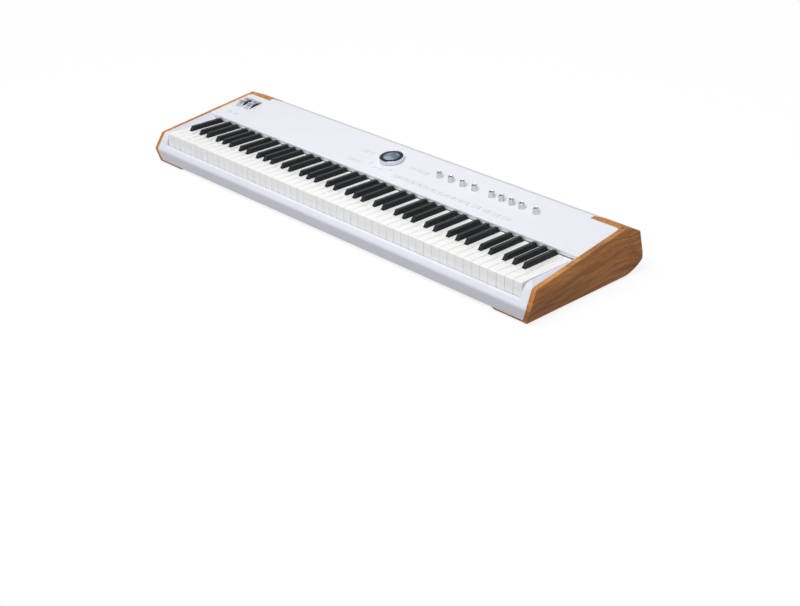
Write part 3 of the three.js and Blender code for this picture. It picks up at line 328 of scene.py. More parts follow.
def build(name, shells, material, body, nodes=(), crease=25):
    """One piece from closed shells: doubles merged, faces turned outwards, edges sharp past the crease."""
    starts = np.cumsum([0] + [len(points) for points, _ in shells])
    corners = np.concatenate([points for points, _ in shells])
    faces = [[i + start for i in face] for (_, made), start in zip(shells, starts) for face in made]
    mesh = bpy.data.meshes.new(name)
    mesh.from_pydata(corners.tolist(), [], faces)
    work = bmesh.new()
    work.from_mesh(mesh)
    bmesh.ops.remove_doubles(work, verts=work.verts, dist=1e-7)
    bmesh.ops.recalc_face_normals(work, faces=work.faces)
    work.to_mesh(mesh)
    work.free()
    mesh.shade_smooth()
    mesh.set_sharp_from_angle(angle=np.radians(crease))
    mesh.materials.append(material)
    made = bpy.data.objects.new(name, mesh)
    bpy.context.scene.collection.objects.link(made)
    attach(made, body)
    if nodes:
        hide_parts(*nodes)
    return made


# Wooden side panels: solid walnut, sawn to the outline, with eased edges. Each wraps the rear corner
# as a hollowed return and has a thin base plate under the end of the case.
knot_middle = np.array([belt_half - 4.7 * mm, front + 235.0 * mm, 75.0 * mm])
knot_stretch = np.array([0.5, 1.0, 2.4])
knot_reach = 32.0 * mm
knot_heart = 6.0 * mm


def walnut():
    """Straight grain along the panel: broad bands and fine streaks carried on the same slow waves, with
    redder drifts, fine pores and one small knot that the streaks of the treble side bend round."""
    wood = Paint("walnut")
    wave = wood.noise(wood.place((1.0, 2.6, 8.0)), 1.7, 2.0)
    drift = wood.vector("MULTIPLY", wave, (0.0, 0.1, 1.5))
    knot_away = wood.vector("LENGTH", wood.place(tuple(knot_stretch), tuple(-knot_stretch * knot_middle)))
    swell = wood.between(knot_away, 0.4, 0.0, 0.0, knot_reach)
    swell.node.interpolation_type = "SMOOTHSTEP"
    bow = wood.vector("MULTIPLY", swell, (0.0, 0.0, 1.0))
    carried = wood.vector("ADD", wood.place((6.0, 2.2, 24.0)), drift)
    shifted = wood.vector("ADD", carried, bow)
    bands = wood.noise(shifted, 1.4, 3.0, 0.2)
    streaks = wood.noise(wood.vector("MULTIPLY", shifted, (2.0, 3.0, 8.0)), 1.0, 5.0, 0.3)
    figure = wood.math("ADD", wood.math("MULTIPLY", bands, 0.45), wood.math("MULTIPLY", streaks, 0.55))
    shades = [(0.36, "96643C"), (0.46, "BA7F4B"), (0.54, "CB8E53"), (0.66, "DDA266")]
    brown = wood.ramp(figure, [(place, colour(code)) for place, code in shades])
    red_drift = wood.between(wood.noise(shifted, 0.8, 1.0), -0.35, 0.9)
    redder = wood.mix(red_drift, brown, colour("C4743A"), "MULTIPLY")
    warm = wood.mix(0.3, brown, wood.mix(1.0, redder, (1.35, 1.3, 1.2, 1.0), "MULTIPLY"))
    toned = wood.mix(wood.between(knot_away, 0.5, 0.0, 0.0, knot_heart), warm, colour("5A3A26"))
    pores = wood.noise(wood.place((900.0, 26.0, 900.0)), 1.0, 2.0)
    pore_shade = wood.ramp(pores, [(0.34, (0.66, 0.62, 0.6, 1.0)), (0.5, (1.0, 1.0, 1.0, 1.0))])
    return wood.surface(
        Base_Color=wood.mix(1.0, toned, pore_shade, "MULTIPLY"),
        Roughness=wood.between(pores, 0.62, 0.48),
        Normal=wood.bump(pores, 0.12 * mm, 0.4),
        Specular_IOR_Level=0.22,
    )


walnut_finish = walnut()
wall_thickness = 11.5 * mm
wood_edge = 1.3 * mm
wood_step = 10.0
near_corner = 1e-3
tiny_rise = 1e-12
heel_radius = 46.0 * mm
shoulder_radius = 4.0 * mm
ridge_radius = 1.5 * mm


def crossed(outline, height):
    """An outline with a point added wherever one of its sides crosses a height: at the share of the side
    that the height above its start is of its rise, but not right beside a corner."""
    ahead = np.roll(outline, -1, 0)
    share = (height - outline[:, 1]) / (ahead[:, 1] - outline[:, 1] + tiny_rise)
    inside = (share > near_corner) & (share < 1 - near_corner)
    pairs = np.stack([outline, outline + (ahead - outline) * share[:, None]], axis=1)
    return pairs[np.column_stack([np.ones(len(outline), bool), inside])]


body_corners = [toe, heel, shoulder, ridge, lip, nose]
body_radii = [2.0 * mm, heel_radius, shoulder_radius, ridge_radius, 10.0 * mm, 6.0 * mm]
body_outline = crossed(rounded(body_corners, body_radii, wood_step), belt_height)


def leaned(made):
    """A shell whose x, counted from the side's face, is carried onto the leaning side of the piano."""
    points, faces = made
    out = points.copy()
    out[:, 0] = side_at(points[:, 2]) - points[:, 0]
    return out, faces


def split_caps(made):
    """A shell whose two end faces are each cut in two along the belt, where the side leans two ways."""
    points, faces = made
    rest = faces[:-2]
    for cap in faces[-2:]:
        heights = points[cap][:, 2]
        at_belt = np.argsort(np.abs(heights - belt_height))[:2]
        low, high = sorted(at_belt.tolist())
        rest.append(cap[low : high + 1])
        rest.append(cap[high:] + cap[: low + 1])
    return points, rest


def wall_shell():
    """The wall: the body's outline stacked across the wood's thickness with an eased edge on either face."""
    rows = rows_between(0.0, wall_thickness, wood_edge, wood_edge / 2)
    return leaned(split_caps(along_x(stacked(body_outline, rows))))


return_wall = 10.0 * mm
return_front = 287.0 * mm + front
return_end = 549.0 * mm
return_foot = 60.0 * mm
return_run = 70.0 * mm
hollow_radius = 36.0 * mm
base_top = 9.5 * mm


def return_shell():
    """The rear return: the outline's rear stretch, closed by a line inside it where each side is moved in by
    the wall, and carried from the eased free end into the wooden wall."""
    corners = np.array([toe, heel, shoulder, ridge, lip])
    depths = np.array([base_top - toe[1], return_wall, return_wall, return_wall])
    sides = np.diff(corners, axis=0)
    sides /= np.linalg.norm(sides, axis=1, keepdims=True)
    lefts = np.column_stack([-sides[:, 1], sides[:, 0]])
    starts = corners[:-1] + lefts * depths[:, None]
    inner = []
    for a, b in ((0, 1), (1, 2), (2, 3)):
        span = np.linalg.solve(np.column_stack([sides[a], -sides[b]]), starts[b] - starts[a])
        inner.append(starts[a] + sides[a] * span[0])
    slope = sides[3]
    top_front = ridge + slope * (return_front - ridge[0]) / slope[0]
    inner_front = starts[3] + slope * (return_front - starts[3][0]) / slope[0]
    under = np.array([heel[0] - return_foot, heel[1]])
    under_top = np.array([under[0], base_top])
    outer_corners = [under, heel, shoulder, ridge, top_front]
    inner_corners = [inner_front, inner[2], inner[1], inner[0], under_top]
    radii = [0, heel_radius, shoulder_radius, ridge_radius, 0, 0, 0, 0, hollow_radius, 0]
    section = rounded(outer_corners + inner_corners, radii, wood_step)
    eased_end = np.array([(1.0, 0.0), (0.6, 0.0), (0.18, 0.18), (0.0, 0.6)]) * mm
    points, faces = along_x(stacked(section, [*eased_end, (0.0, return_run)]))
    points = points.copy()
    inside = points[:, 0] > return_run / 2
    points[:, 0] += return_end
    points[inside, 0] = side_at(points[inside, 2]) - wall_thickness / 2
    return points, faces


base_setback = 1.2 * mm
base_end = np.array([546.0, 536.0]) * mm


def base_shell():
    """The base plate: a slab with a slanted free end, its section set at the front and again at the rear."""
    heights = np.array([toe[1], base_top])
    free_end = np.column_stack([base_end, heights])
    in_wall = np.column_stack([side_at(heights) - wall_thickness / 2, heights])
    section = np.array([free_end[0], in_wall[0], in_wall[1], free_end[1]])
    ends = [np.insert(section, 1, y, axis=1) for y in (toe[0] + base_setback, heel[0] - heel_radius)]
    return shell(np.array(ends))


def deck_line(y):
    """The height of the deck's face at a y: on the straight line from the ridge to the lip."""
    return ridge[1] + (y - ridge[0]) * (lip[1] - ridge[1]) / (lip[0] - ridge[0])


corner_radius = 9.0 * mm
corner_overlap = 2.0 * mm
corner_depth = 12.0 * mm
corner_sunk = 0.02 * mm
corner_points = 13


def corner_shell():
    """The fillet in the corner between the wall and the return: a quarter arc closed by the square corner."""
    inner_side = side_at(deck_line(return_front)) - wall_thickness
    centre = np.array([inner_side, return_front]) - corner_radius
    angles = np.linspace(0, np.pi / 2, corner_points)
    arc = centre + corner_radius * np.column_stack([np.cos(angles), np.sin(angles)])
    corner = np.array([inner_side, return_front]) + corner_overlap
    ends = [(centre[0], corner[1]), corner, (corner[0], centre[1])]
    outline = np.concatenate([arc, ends])
    top = deck_line(outline[:, 1]) - corner_sunk
    layers = [np.column_stack([outline, top - drop]) for drop in (corner_depth, 0.0)]
    return shell(np.array(layers))


right_wood = [wall_shell(), return_shell(), base_shell(), corner_shell()]
left_wood = [mirrored(made) for made in right_wood]
build("right_wooden_side", right_wood, walnut_finish, "piano", ["right_side_panel"], crease=18)
build("left_wooden_side", left_wood, walnut_finish, "piano", ["left_side_panel"], crease=18)

# Front rail and cheeks: one white moulding. The rail's nose runs the whole width under the keys, and a
# cheek with rounded edges stands up at either end of the keyboard.


def shaded(shade, share):
    """A colour whose three shares are each made smaller by one factor."""
    return (*(c * share for c in shade[:3]), 1.0)


def white_paint(name, code, roughness, shade_start_y=None):
    """Smooth satin paint: a faint change of gloss and a very shallow ripple; where a y is given, the colour
    past it is darker, painted shade on a bevel that faces away from the light."""
    paint = Paint(name)
    cloud = paint.noise(paint.place(), 9.0, 3.0)
    ripple = paint.noise(paint.place(), 420.0, 2.0)
    pale = colour(code)
    coat = paint.ramp(cloud, [(0.3, shaded(pale, 0.975)), (0.7, pale)])
    if shade_start_y is not None:
        along = paint.node("SeparateXYZ", {0: paint.place()}).outputs["Y"]
        painted_shade = paint.between(along, 0.0, 1.0, shade_start_y, shade_start_y + 1 * mm)
        # Painted shade: past the given y the paint's colour is multiplied by a grey that stands for the
        # bevel's shade.
        coat = paint.mix(painted_shade, coat, paint.mix(1.0, coat, (0.84, 0.84, 0.85, 1.0), "MULTIPLY"))
    return paint.surface(
        Base_Color=coat,
        Roughness=paint.between(cloud, roughness - 0.03, roughness + 0.03),
        Normal=paint.bump(ripple, 0.05 * mm, 0.12),
        Coat_Weight=0.1,
        Coat_Roughness=0.2,
    )


rail_white = white_paint("white_moulding_paint", "E4E6F0", 0.36)
case_low = 9.8 * mm
ledge_height = 51.1 * mm
ledge_rear = front - 1.2 * mm
rail_radii = np.array([1, 0, 1, 2.2, 13]) * mm
brow = (lip - nose) / (lip[1] - nose[1])
toe_line = (nose - toe) / (nose[1] - toe[1])
side_gap = wall_thickness + 0.3 * mm


def brow_at(height):
    """The point of the brow, the straight face from the nose to the lip, at a height."""
    return nose + brow * (height - nose[1])


def rail_shell():
    """The rail's section of toe, ledge, brow and nose, drawn from one wooden side to the other."""
    foot = toe + toe_line * (case_low - toe[1])
    corners = [foot, (ledge_rear, case_low), (ledge_rear, ledge_height), brow_at(ledge_height), nose]
    section = rounded(corners, rail_radii, 3.0)
    half = side_at(section[:, 1]) - side_gap
    ends = [np.column_stack([sign * half, section]) for sign in (-1, 1)]
    return shell(np.array(ends))


well_half = 612.5 * mm
cheek_edge = 1.8 * mm
cheek_level = 84.3 * mm
cheek_setback = 2.5 * mm
cheek_sunk = 5.0 * mm
cheek_rear = front + 158.0 * mm
cheek_foot = np.array([0.02, -0.05]) * mm
key_side_round = 28.0 * mm
wood_side_round = 10.0 * mm
wood_side_drop = 0.1 * mm
cheek_arc_points = 9
cheek_rows = 7
key_side_rear = [front + 155.8 * mm, 86.3 * mm]
wood_side_rear = [front + 150.1 * mm, 99.7 * mm]


def cheek_profile(corner, radius, rear):
    """A cheek's section: the brow, a rounded front corner, and the top back to the deck's wall."""
    foot = brow_at(ledge_height)
    low_front = foot + [cheek_setback, -cheek_sunk]
    low_rear = np.array([cheek_rear, ledge_height - cheek_sunk])
    corners = [low_front, low_rear, rear, corner, foot + cheek_foot]
    return rounded(corners, [0, 0, 0, radius, 0], points_each=cheek_arc_points)


def cheek_shell():
    """A cheek: a level profile with a rounded edge beside the keys, ruled to the wood's own outline, whose
    points take the place of the last row's."""
    key_side = cheek_profile(brow_at(cheek_level), key_side_round, key_side_rear)
    wood_side = cheek_profile(lip - [0, wood_side_drop], wood_side_round, wood_side_rear)
    rows = rows_between(0.0, 2 * cheek_edge, cheek_edge, 0.0)[:cheek_rows]
    points, faces = along_x(stacked(key_side, rows))
    points = points.copy()
    points[:, 0] += well_half
    last = len(points) - len(wood_side)
    points[last:, 1:] = wood_side
    points[last:, 0] = side_at(wood_side[:, 1]) - side_gap
    return points, faces


cheek = cheek_shell()
rail_shells = [rail_shell(), cheek, mirrored(cheek)]
build("front_rail_moulding", rail_shells, rail_white, "piano", ["front_rail"])

# Top and rear panels: folded sheet painted like the rail. The tray under them is black textured plastic.
# The CAD's own solids have these parts' shapes, so they stay and only get a finish.


def dress(node, material):
    """A CAD node's own solid, shown in a material."""
    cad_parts[node].material_slots[0].material = material


def moulded(name, code, grain, roughness):
    """Moulded plastic with a fine spark-eroded grain."""
    paint = Paint(name)
    spots = paint.noise(paint.place(), grain, 3.0)
    base = colour(code)
    return paint.surface(
        Base_Color=paint.ramp(spots, [(0.35, shaded(base, 0.8)), (0.65, base)]),
        Roughness=paint.between(spots, roughness - 0.06, roughness + 0.06),
        Normal=paint.bump(spots, 0.08 * mm, 0.35),
    )


case_plastic = moulded("case_plastic", "2A2C31", 1500.0, 0.55)
# The deck's rear bevel past the ridge has painted shade in its colour.
dress("top_panel", white_paint("white_panel_paint", "EAEDF3", 0.42, ridge[0]))
dress("rear_panel", white_paint("rear_panel_paint", "E6E9EF", 0.45))
dress("bottom_case", case_plastic)

# White keys: gloss plastic mouldings that swing on a pivot at the rear. Each has a front block with a lip
# that hangs over the rail's ledge, a narrower part between the black keys and a lower tail. The top front
# edge is well rounded, the other edges barely.
key_top = 84.8 * mm
tail_top = 82.8 * mm
white_pitch = 23.5 * mm
white_count = 52
keyboard_half = white_count * white_pitch / 2
key_gap = 0.85 * mm
key_rear = front + 202.5 * mm
key_under = tail_top - 18.0 * mm
lip_under = tail_top - 33.0 * mm
lip_depth = 4.0 * mm
side_edge = 0.25 * mm
side_sunk = 0.01 * mm
plan_round = 0.4 * mm
top_sunk = 0.02 * mm
tail_draw = 0.25 * mm
front_overlap = 0.5 * mm
tail_overlap = 5.0 * mm
side_view_radii = np.array([0.5, 0.5, 0, 0, 0, 2.6]) * mm
plan_under_edge = 0.2 * mm
plan_top_edge = 0.4 * mm
plan_margin = 0.3 * mm
wall_foot = front + 155.6 * mm
notch_front = front + 50.5 * mm
notch_half = 6.0 * mm
letters = "cdefgab"
first_letter = 5
black_shift = {"c": -2.5, "d": 2.5, "f": -4.0, "g": 0.0, "a": 4.0}
hinged_octave = 4


def letter_of(i):
    """The letter of a white key counted from the bass end: every seventh key has the same one."""
    return letters[(i + first_letter) % 7]


def octave_of(i):
    """The octave of a white key counted from the bass end: a new one starts every seven keys, at c."""
    return (i + first_letter) // 7


def has_black(i):
    """Whether a black key stands between a white key and the next one."""
    return 0 <= i < white_count - 1 and letter_of(i) in black_shift


def black_middle(i):
    """The x of the black key after a white key: the gap between the two, shifted as its letter says."""
    return (i + 1) * white_pitch - keyboard_half + black_shift[letter_of(i)] * mm


def oblong(left, right, near, far):
    """The four corners of a rectangle, in turn to the left."""
    return [(left, near), (right, near), (right, far), (left, far)]


def key_white():
    """Gloss key plastic, a little warm, with a trace of moulding waviness."""
    paint = Paint("white_key_plastic")
    cloud = paint.noise(paint.place(), 30.0, 2.0)
    return paint.surface(
        Base_Color=paint.ramp(cloud, [(0.3, colour("F4F5F3")), (0.7, colour("F7F8F6"))]),
        Roughness=paint.between(cloud, 0.26, 0.3),
        Normal=paint.bump(cloud, 0.02 * mm, 0.1),
        Coat_Weight=0.15,
        Coat_Roughness=0.12,
    )


def white_key_shells(i):
    """The front block is a side view laid along x; the middle and the tail are plans stacked upwards."""
    left = i * white_pitch - keyboard_half + key_gap / 2
    right = left + white_pitch - key_gap
    low_side = black_middle(i - 1) + notch_half if has_black(i - 1) else left + side_sunk
    high_side = black_middle(i) - notch_half if has_black(i) else right - side_sunk
    behind = front + lip_depth
    side_view = [(front, lip_under), (behind, lip_under), (behind, key_under)]
    side_view += [(notch_front, key_under), (notch_front, key_top), (front, key_top)]
    side_view = rounded(side_view, side_view_radii, 18.0)
    parts = [along_x(stacked(side_view, rows_between(left, right, side_edge, side_edge, 2)))]
    middle = (notch_front - front_overlap, wall_foot, 0.0, key_top - top_sunk)
    tail = (wall_foot - tail_overlap, key_rear, tail_draw, tail_top)
    for near, far, draw, high in (middle, tail):
        plan = rounded(oblong(low_side + draw, high_side - draw, near, far), [plan_round] * 4, 30.0)
        rows = rows_between(key_under, high, plan_under_edge, plan_top_edge, 2, plan_margin)
        parts.append(stacked(plan, rows))
    return parts


def build_key(kind, node, octave, shells, material):
    """A key of the hinged octave rides on its own body, any other on the piano."""
    hinged = octave == hinged_octave
    body = node if hinged else "piano"
    stands_for = [node] if hinged else ["key_frame"]
    build(f"{kind}_{node}", shells, material, body, stands_for, crease=30)


white_plastic = key_white()
for i in range(white_count):
    node = f"key_{letter_of(i)}{octave_of(i)}"
    build_key("white", node, octave_of(i), white_key_shells(i), white_plastic)

# Key bed: a folded steel sheet that carries the two guide rails, the contact rail and the pivot rail. It
# shows only through the gaps round a key that is held down. Each part is given by half its length, its
# near and far side counted from the keys' fronts, and its lower and upper face, in millimetres.
bed_sheet = (611.0, 8.0, 212.0, 12.2, 14.1)
front_guide = (610.0, 16.0, 32.0, 13.5, 48.8)
rear_guide = (610.0, 60.0, 76.0, 13.5, 48.8)
contact_rail = (610.0, 106.0, 142.0, 13.5, 53.3)
pivot_rail = (610.0, 190.0, 202.0, 13.5, 60.8)
bar_edge = 0.4 * mm
bar_round = 1.0 * mm


def bar(half_width, near, far, low, high):
    """A long rail from side to side with eased edges: its plan stacked upwards."""
    plan = rounded(oblong(-half_width, half_width, near, far), [bar_round] * 4, 30.0)
    points, faces = stacked(plan, rows_between(low, high, bar_edge / 2, bar_edge, 2, plan_margin))
    return points + [0.0, front, 0.0], faces


def key_bed_steel():
    """Plated sheet steel, its cloudy grey drawn out along the rails."""
    steel = Paint("bed_steel")
    cloud = steel.noise(steel.place((3.0, 40.0, 40.0)), 6.0, 3.0)
    grey = steel.ramp(cloud, [(0.3, colour("7C8084")), (0.7, colour("92969A"))])
    return steel.surface(Base_Color=grey, Metallic=0.8, Roughness=steel.between(cloud, 0.4, 0.55))


bed_sizes = np.array([bed_sheet, front_guide, rear_guide, contact_rail, pivot_rail]) * mm
bed_bars = [bar(*sizes) for sizes in bed_sizes]
build("key_bed", bed_bars, key_bed_steel(), "piano", ["key_frame"], crease=30)

# Black keys: matt plastic mouldings on the same pivot. The raised part draws in towards its top, slopes at
# the front, and leans forward at the rear, much as the deck's wall behind it does.
black_half = 5.5 * mm
black_top_half = 4.7 * mm
black_front = front + 51.8 * mm
black_slope = 8.0 * mm
black_rear = front + 152.6 * mm
black_rear_lean = 0.25
black_height = 13.0 * mm
black_edge = 1.0 * mm
black_foot = tail_top - 1.0 * mm
black_straight = 0.5 * mm
black_round = 0.8 * mm
black_least_round = 0.3 * mm
black_round_loss = 0.4
black_top_margin = 0.4 * mm
black_tail_edge = 0.2 * mm
black_tail_high = black_foot + 0.2 * mm


def key_black():
    """Dark grey key plastic with a satin grain that runs along the key."""
    paint = Paint("black_key_plastic")
    grain = paint.noise(paint.place((900.0, 60.0, 900.0)), 1.0, 3.0)
    return paint.surface(
        Base_Color=paint.ramp(grain, [(0.3, colour("1F2427")), (0.7, colour("2A3033"))]),
        Roughness=paint.between(grain, 0.38, 0.48),
        Normal=paint.bump(grain, 0.05 * mm, 0.3),
        Specular_IOR_Level=0.12,
    )


def black_key_shells(i):
    """Rounded rectangles stacked upwards: their sides draw in with height, and an arc closes the top edge."""
    x = black_middle(i)
    top = tail_top + black_height
    arcs = np.radians(np.linspace(0, 90, 6))
    straight = [black_foot, tail_top + black_straight]
    heights = np.concatenate([straight, top - black_edge * (1 - np.sin(arcs)), [top]])
    insets = np.concatenate([[0, 0], black_edge * (1 - np.cos(arcs)), [black_edge + black_top_margin]])
    layers = []
    for height, depth in zip(heights, insets):
        share = max(height - tail_top, 0) / black_height
        half = black_half + (black_top_half - black_half) * share - depth
        near = black_front + black_slope * max(height - key_top, 0) / (top - key_top) + depth
        far = black_rear - black_rear_lean * (height - black_foot) - depth
        radius = max(black_round - depth * black_round_loss, black_least_round)
        plan = rounded(oblong(x - half, x + half, near, far), [radius] * 4, 15.0)
        layers.append(np.column_stack([plan, np.full(len(plan), height)]))
    tail_plan = oblong(x - black_half, x + black_half, black_front, key_rear)
    edge = black_tail_edge
    tail_rows = rows_between(key_under, black_tail_high, edge, edge, 2, edge)
    tail = stacked(rounded(tail_plan, [black_least_round] * 4, 30.0), tail_rows)
    return [shell(np.array(layers)), tail]


black_plastic = key_black()
for i in filter(has_black, range(white_count)):
    node = f"key_{letter_of(i)}_sharp{octave_of(i)}"
    build_key("black", node, octave_of(i), black_key_shells(i), black_plastic)

# Felt: a strip of pressed wool glued along the foot of the deck's wall, where it shows behind the keys as
# a thin warm line.


def wool_felt():
    """Pressed wool: fibres that lie every way, rough and without gloss."""
    felt = Paint("wool_felt")
    fibre = felt.noise(felt.place((300.0, 1100.0, 1100.0)), 1.0, 5.0, 1.5)
    return felt.surface(
        Base_Color=felt.ramp(fibre, [(0.3, colour("55443A")), (0.7, colour("7F6A5A"))]),
        Roughness=0.95,
        Normal=felt.bump(fibre, 0.3 * mm, 0.7),
        Sheen_Weight=0.3,
    )


dress("key_felt", wool_felt())

# Row buttons: caps of matt white plastic along the front of the deck, each with a flange that holds it under
# its hole. All controls are set out by x, the distance up the deck from its front edge, and the height above
# its face, and the deck is tilted like the line from the lip to the ridge.
deck_tilt = np.arctan2(ridge[1] - lip[1], ridge[0] - lip[0])
deck_front = front + 150.5 * mm
deck_base = lip[1] + (deck_front - lip[0]) * np.tan(deck_tilt)
front_row = 30.8 * mm
button_count = 15
button_depth = 12.0 * mm
button_low = -3.2 * mm
button_rise = 1.6 * mm
button_edge = 0.8 * mm
button_under_edge = 0.2 * mm
button_round = 1.2 * mm
flange = 1.2 * mm
flange_low = -3.3 * mm
flange_high = -2.35 * mm
flange_edge = 0.1 * mm


def on_deck(made, middle=(0.0, 0.0), height=0.0):
    """A shell moved from a place in the deck's own frame to the piano's: turned by the deck's tilt."""
    points, faces = made
    x = points[:, 0] + middle[0]
    up = points[:, 1] + middle[1]
    out = points[:, 2] + height
    y = deck_front + up * np.cos(deck_tilt) - out * np.sin(deck_tilt)
    z = deck_base + up * np.sin(deck_tilt) + out * np.cos(deck_tilt)
    return np.column_stack([x, y, z]), faces


def middle_x(node):
    """The x halfway between a node's two sides."""
    low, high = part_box(node)
    return (low.x + high.x) / 2


def soft_plastic():
    """Matt off-white plastic with a fine even grain."""
    paint = Paint("button_plastic")
    grain = paint.noise(paint.place(), 1800.0, 2.0)
    return paint.surface(
        Base_Color=paint.ramp(grain, [(0.3, colour("DFE0E0")), (0.7, colour("E6E7E7"))]),
        Roughness=0.55,
        Normal=paint.bump(grain, 0.04 * mm, 0.3),
    )


def cap_shell(width, depth, low, high, edge=button_edge):
    """A rounded rectangle stacked upwards with an eased top edge."""
    plan = rounded(oblong(-width / 2, width / 2, -depth / 2, depth / 2), [button_round] * 4, 18.0)
    return stacked(plan, rows_between(low, high, button_under_edge, edge, 3, plan_margin))


button_plastic = soft_plastic()
for k in range(1, button_count + 1):
    node = f"row_button_{k}"
    low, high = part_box(node)
    full_width = high.x - low.x
    cap = cap_shell(full_width - 2 * flange, button_depth, button_low, button_rise)
    holder = cap_shell(full_width, button_depth + 2 * flange, flange_low, flange_high, flange_edge)
    shells = [on_deck(made, (middle_x(node), front_row)) for made in (cap, holder)]
    build(f"button_{k}", shells, button_plastic, node, [node], crease=30)

# Soft buttons: caps moulded on two silicone mats that lie under the deck, one round the dial and one in
# front of the wheels. The mat at the dial is one sheet cut round it, made here of four oblongs, each given
# by its left, right, near and far side in millimetres.
rear_row = 80.3 * mm
soft_pitch = 22.2 * mm
left_pair = -106.0 * mm
right_row = 56.0 * mm
soft_width = 17.0 * mm
soft_depth = 12.0 * mm
soft_rise = 1.2 * mm
round_radius = 5.0 * mm
round_edges = np.array([0.1, 1.0]) * mm
round_turns = (-41.0, -11.2, 11.2, 41.0)
dial_middle = (-14.0 * mm, 81.3 * mm)
arc_radius = 50.5 * mm
mat_floor = -8.7 * mm
mat_sheet = 1.2 * mm
cap_low = mat_floor + mat_sheet / 2


def silicone():
    """Matt silicone rubber, a little translucent."""
    paint = Paint("silicone_rubber")
    cloud = paint.noise(paint.place(), 900.0, 2.0)
    return paint.surface(
        Base_Color=paint.ramp(cloud, [(0.3, colour("DEDFE0")), (0.7, colour("E5E6E7"))]),
        Roughness=0.62,
        Normal=paint.bump(cloud, 0.05 * mm, 0.25),
        Subsurface_Weight=0.1,
        Subsurface_Scale=0.002,
    )


def turned(profile, faces=48):
    """A profile of radius and height turned about the upright axis; it starts and ends on the axis or closes
    on itself."""
    angles = np.linspace(0, 2 * np.pi, faces, endpoint=False)
    radius, height = np.asarray(profile, float).T[:, :, None]
    upward = np.broadcast_to(height, (len(height), faces))
    grid = np.stack([radius * np.cos(angles), radius * np.sin(angles), upward], axis=-1)
    return shell(grid, caps=False)


def eased(points, radii, step=15.0):
    """An open profile whose inner corners are rounded."""
    points = np.asarray(points, float)
    made = [points[:1]]
    for before, corner, after, radius in zip(points[:-2], points[1:-1], points[2:], radii):
        made.append(rounded([before, corner, after], [0, radius, 0], step)[1:-1])
    return np.concatenate(made + [points[-1:]])


def sheet_shell(plan, low):
    """A plain sheet of the mat: its plan at its lower and its upper face."""
    return on_deck(stacked(np.array(plan), [(0.0, low), (0.0, low + mat_sheet)]))


soft_rubber = silicone()
cap_middles = [(left_pair + k * soft_pitch, row) for row in (front_row, rear_row) for k in range(2)]
cap_middles += [(right_row + k * soft_pitch, rear_row) for k in range(3)]
soft_cap = cap_shell(soft_width, soft_depth, cap_low, soft_rise)
mat_shells = [on_deck(soft_cap, middle) for middle in cap_middles]
round_profile = [(0, cap_low), (round_radius, cap_low), (round_radius, soft_rise), (0, soft_rise)]
round_cap = turned(eased(round_profile, round_edges), 32)
for angle in np.radians(round_turns):
    arm = arc_radius * np.array([np.sin(angle), -np.cos(angle)])
    mat_shells.append(on_deck(round_cap, arm + dial_middle))
mat_sheets = np.array(
    [
        (-119.5, 42.0, 19.8, 49.0),
        (-119.5, -46.0, 49.0, 91.3),
        (18.0, 113.9, 69.3, 91.3),
        (18.0, 42.0, 49.0, 69.3),
    ]
)
mat_shells += [sheet_shell(oblong(*sides), mat_floor) for sides in mat_sheets * mm]
build("soft_button_mat", mat_shells, soft_rubber, "piano", ["button_mat"], crease=30)

octave_row = 33.6 * mm
octave_floor = -8.0 * mm
octave_pitch = 28.0 * mm
octave_width = 15.0 * mm
octave_depth = 10.0 * mm
octave_margin = 10.0 * mm
octave_right_margin = 12.5 * mm
octave_near = 26.1 * mm
octave_far = 43.6 * mm
octave_x = [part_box("octave_mat")[0].x + octave_margin + k * octave_pitch for k in range(2)]
octave_cap = cap_shell(octave_width, octave_depth, octave_floor + mat_sheet / 2, soft_rise)
octave_sides = (octave_x[0] - octave_margin, octave_x[1] + octave_right_margin)
octave_plan = oblong(*octave_sides, octave_near, octave_far)
octave_shells = [on_deck(octave_cap, (x, octave_row)) for x in octave_x]
octave_shells.append(sheet_shell(octave_plan, octave_floor))
build("octave_button_mat", octave_shells, soft_rubber, "piano", ["octave_mat"], crease=30)

# Knobs: turned and polished metal with a flared foot, a straight grip and a dished top, each on the
# shaft of a pot under the deck.


def polished_metal(name, code, roughness):
    """Bright metal turned on a lathe: very fine rings round its axis."""
    metal = Paint(name)
    rings = metal.noise(metal.place((60.0, 60.0, 2600.0)), 1.0, 2.0)
    bright = colour(code)
    return metal.surface(
        Base_Color=metal.ramp(rings, [(0.3, shaded(bright, 0.94)), (0.7, bright)]),
        Metallic=1.0,
        Roughness=metal.between(rings, roughness - 0.03, roughness + 0.05),
        Normal=metal.bump(rings, 0.01 * mm, 0.2),
    )


knob_metal = polished_metal("knob_metal", "D2D6DA", 0.22)
knob_row = 87.1 * mm
knob_count = 9
knob_profile = np.array(
    [
        (0.0, -8.4),
        (3.0, -8.4),
        (3.0, 0.5),
        (8.75, 0.5),
        (8.75, 1.4),
        (7.4, 4.4),
        (7.1, 12.0),
        (6.2, 12.0),
        (5.6, 11.4),
        (0.0, 9.6),
    ]
)
knob_radii = np.array([0.1, 0.1, 0.2, 0.5, 3.0, 0.5, 0.25, 1.5])
knob_form = turned(eased(knob_profile * mm, knob_radii * mm))
for k in range(1, knob_count + 1):
    node = f"knob_{k}"
    knob = on_deck(knob_form, (middle_x(node), knob_row))
    build(f"metal_{node}", [knob], knob_metal, node, [node], crease=40)

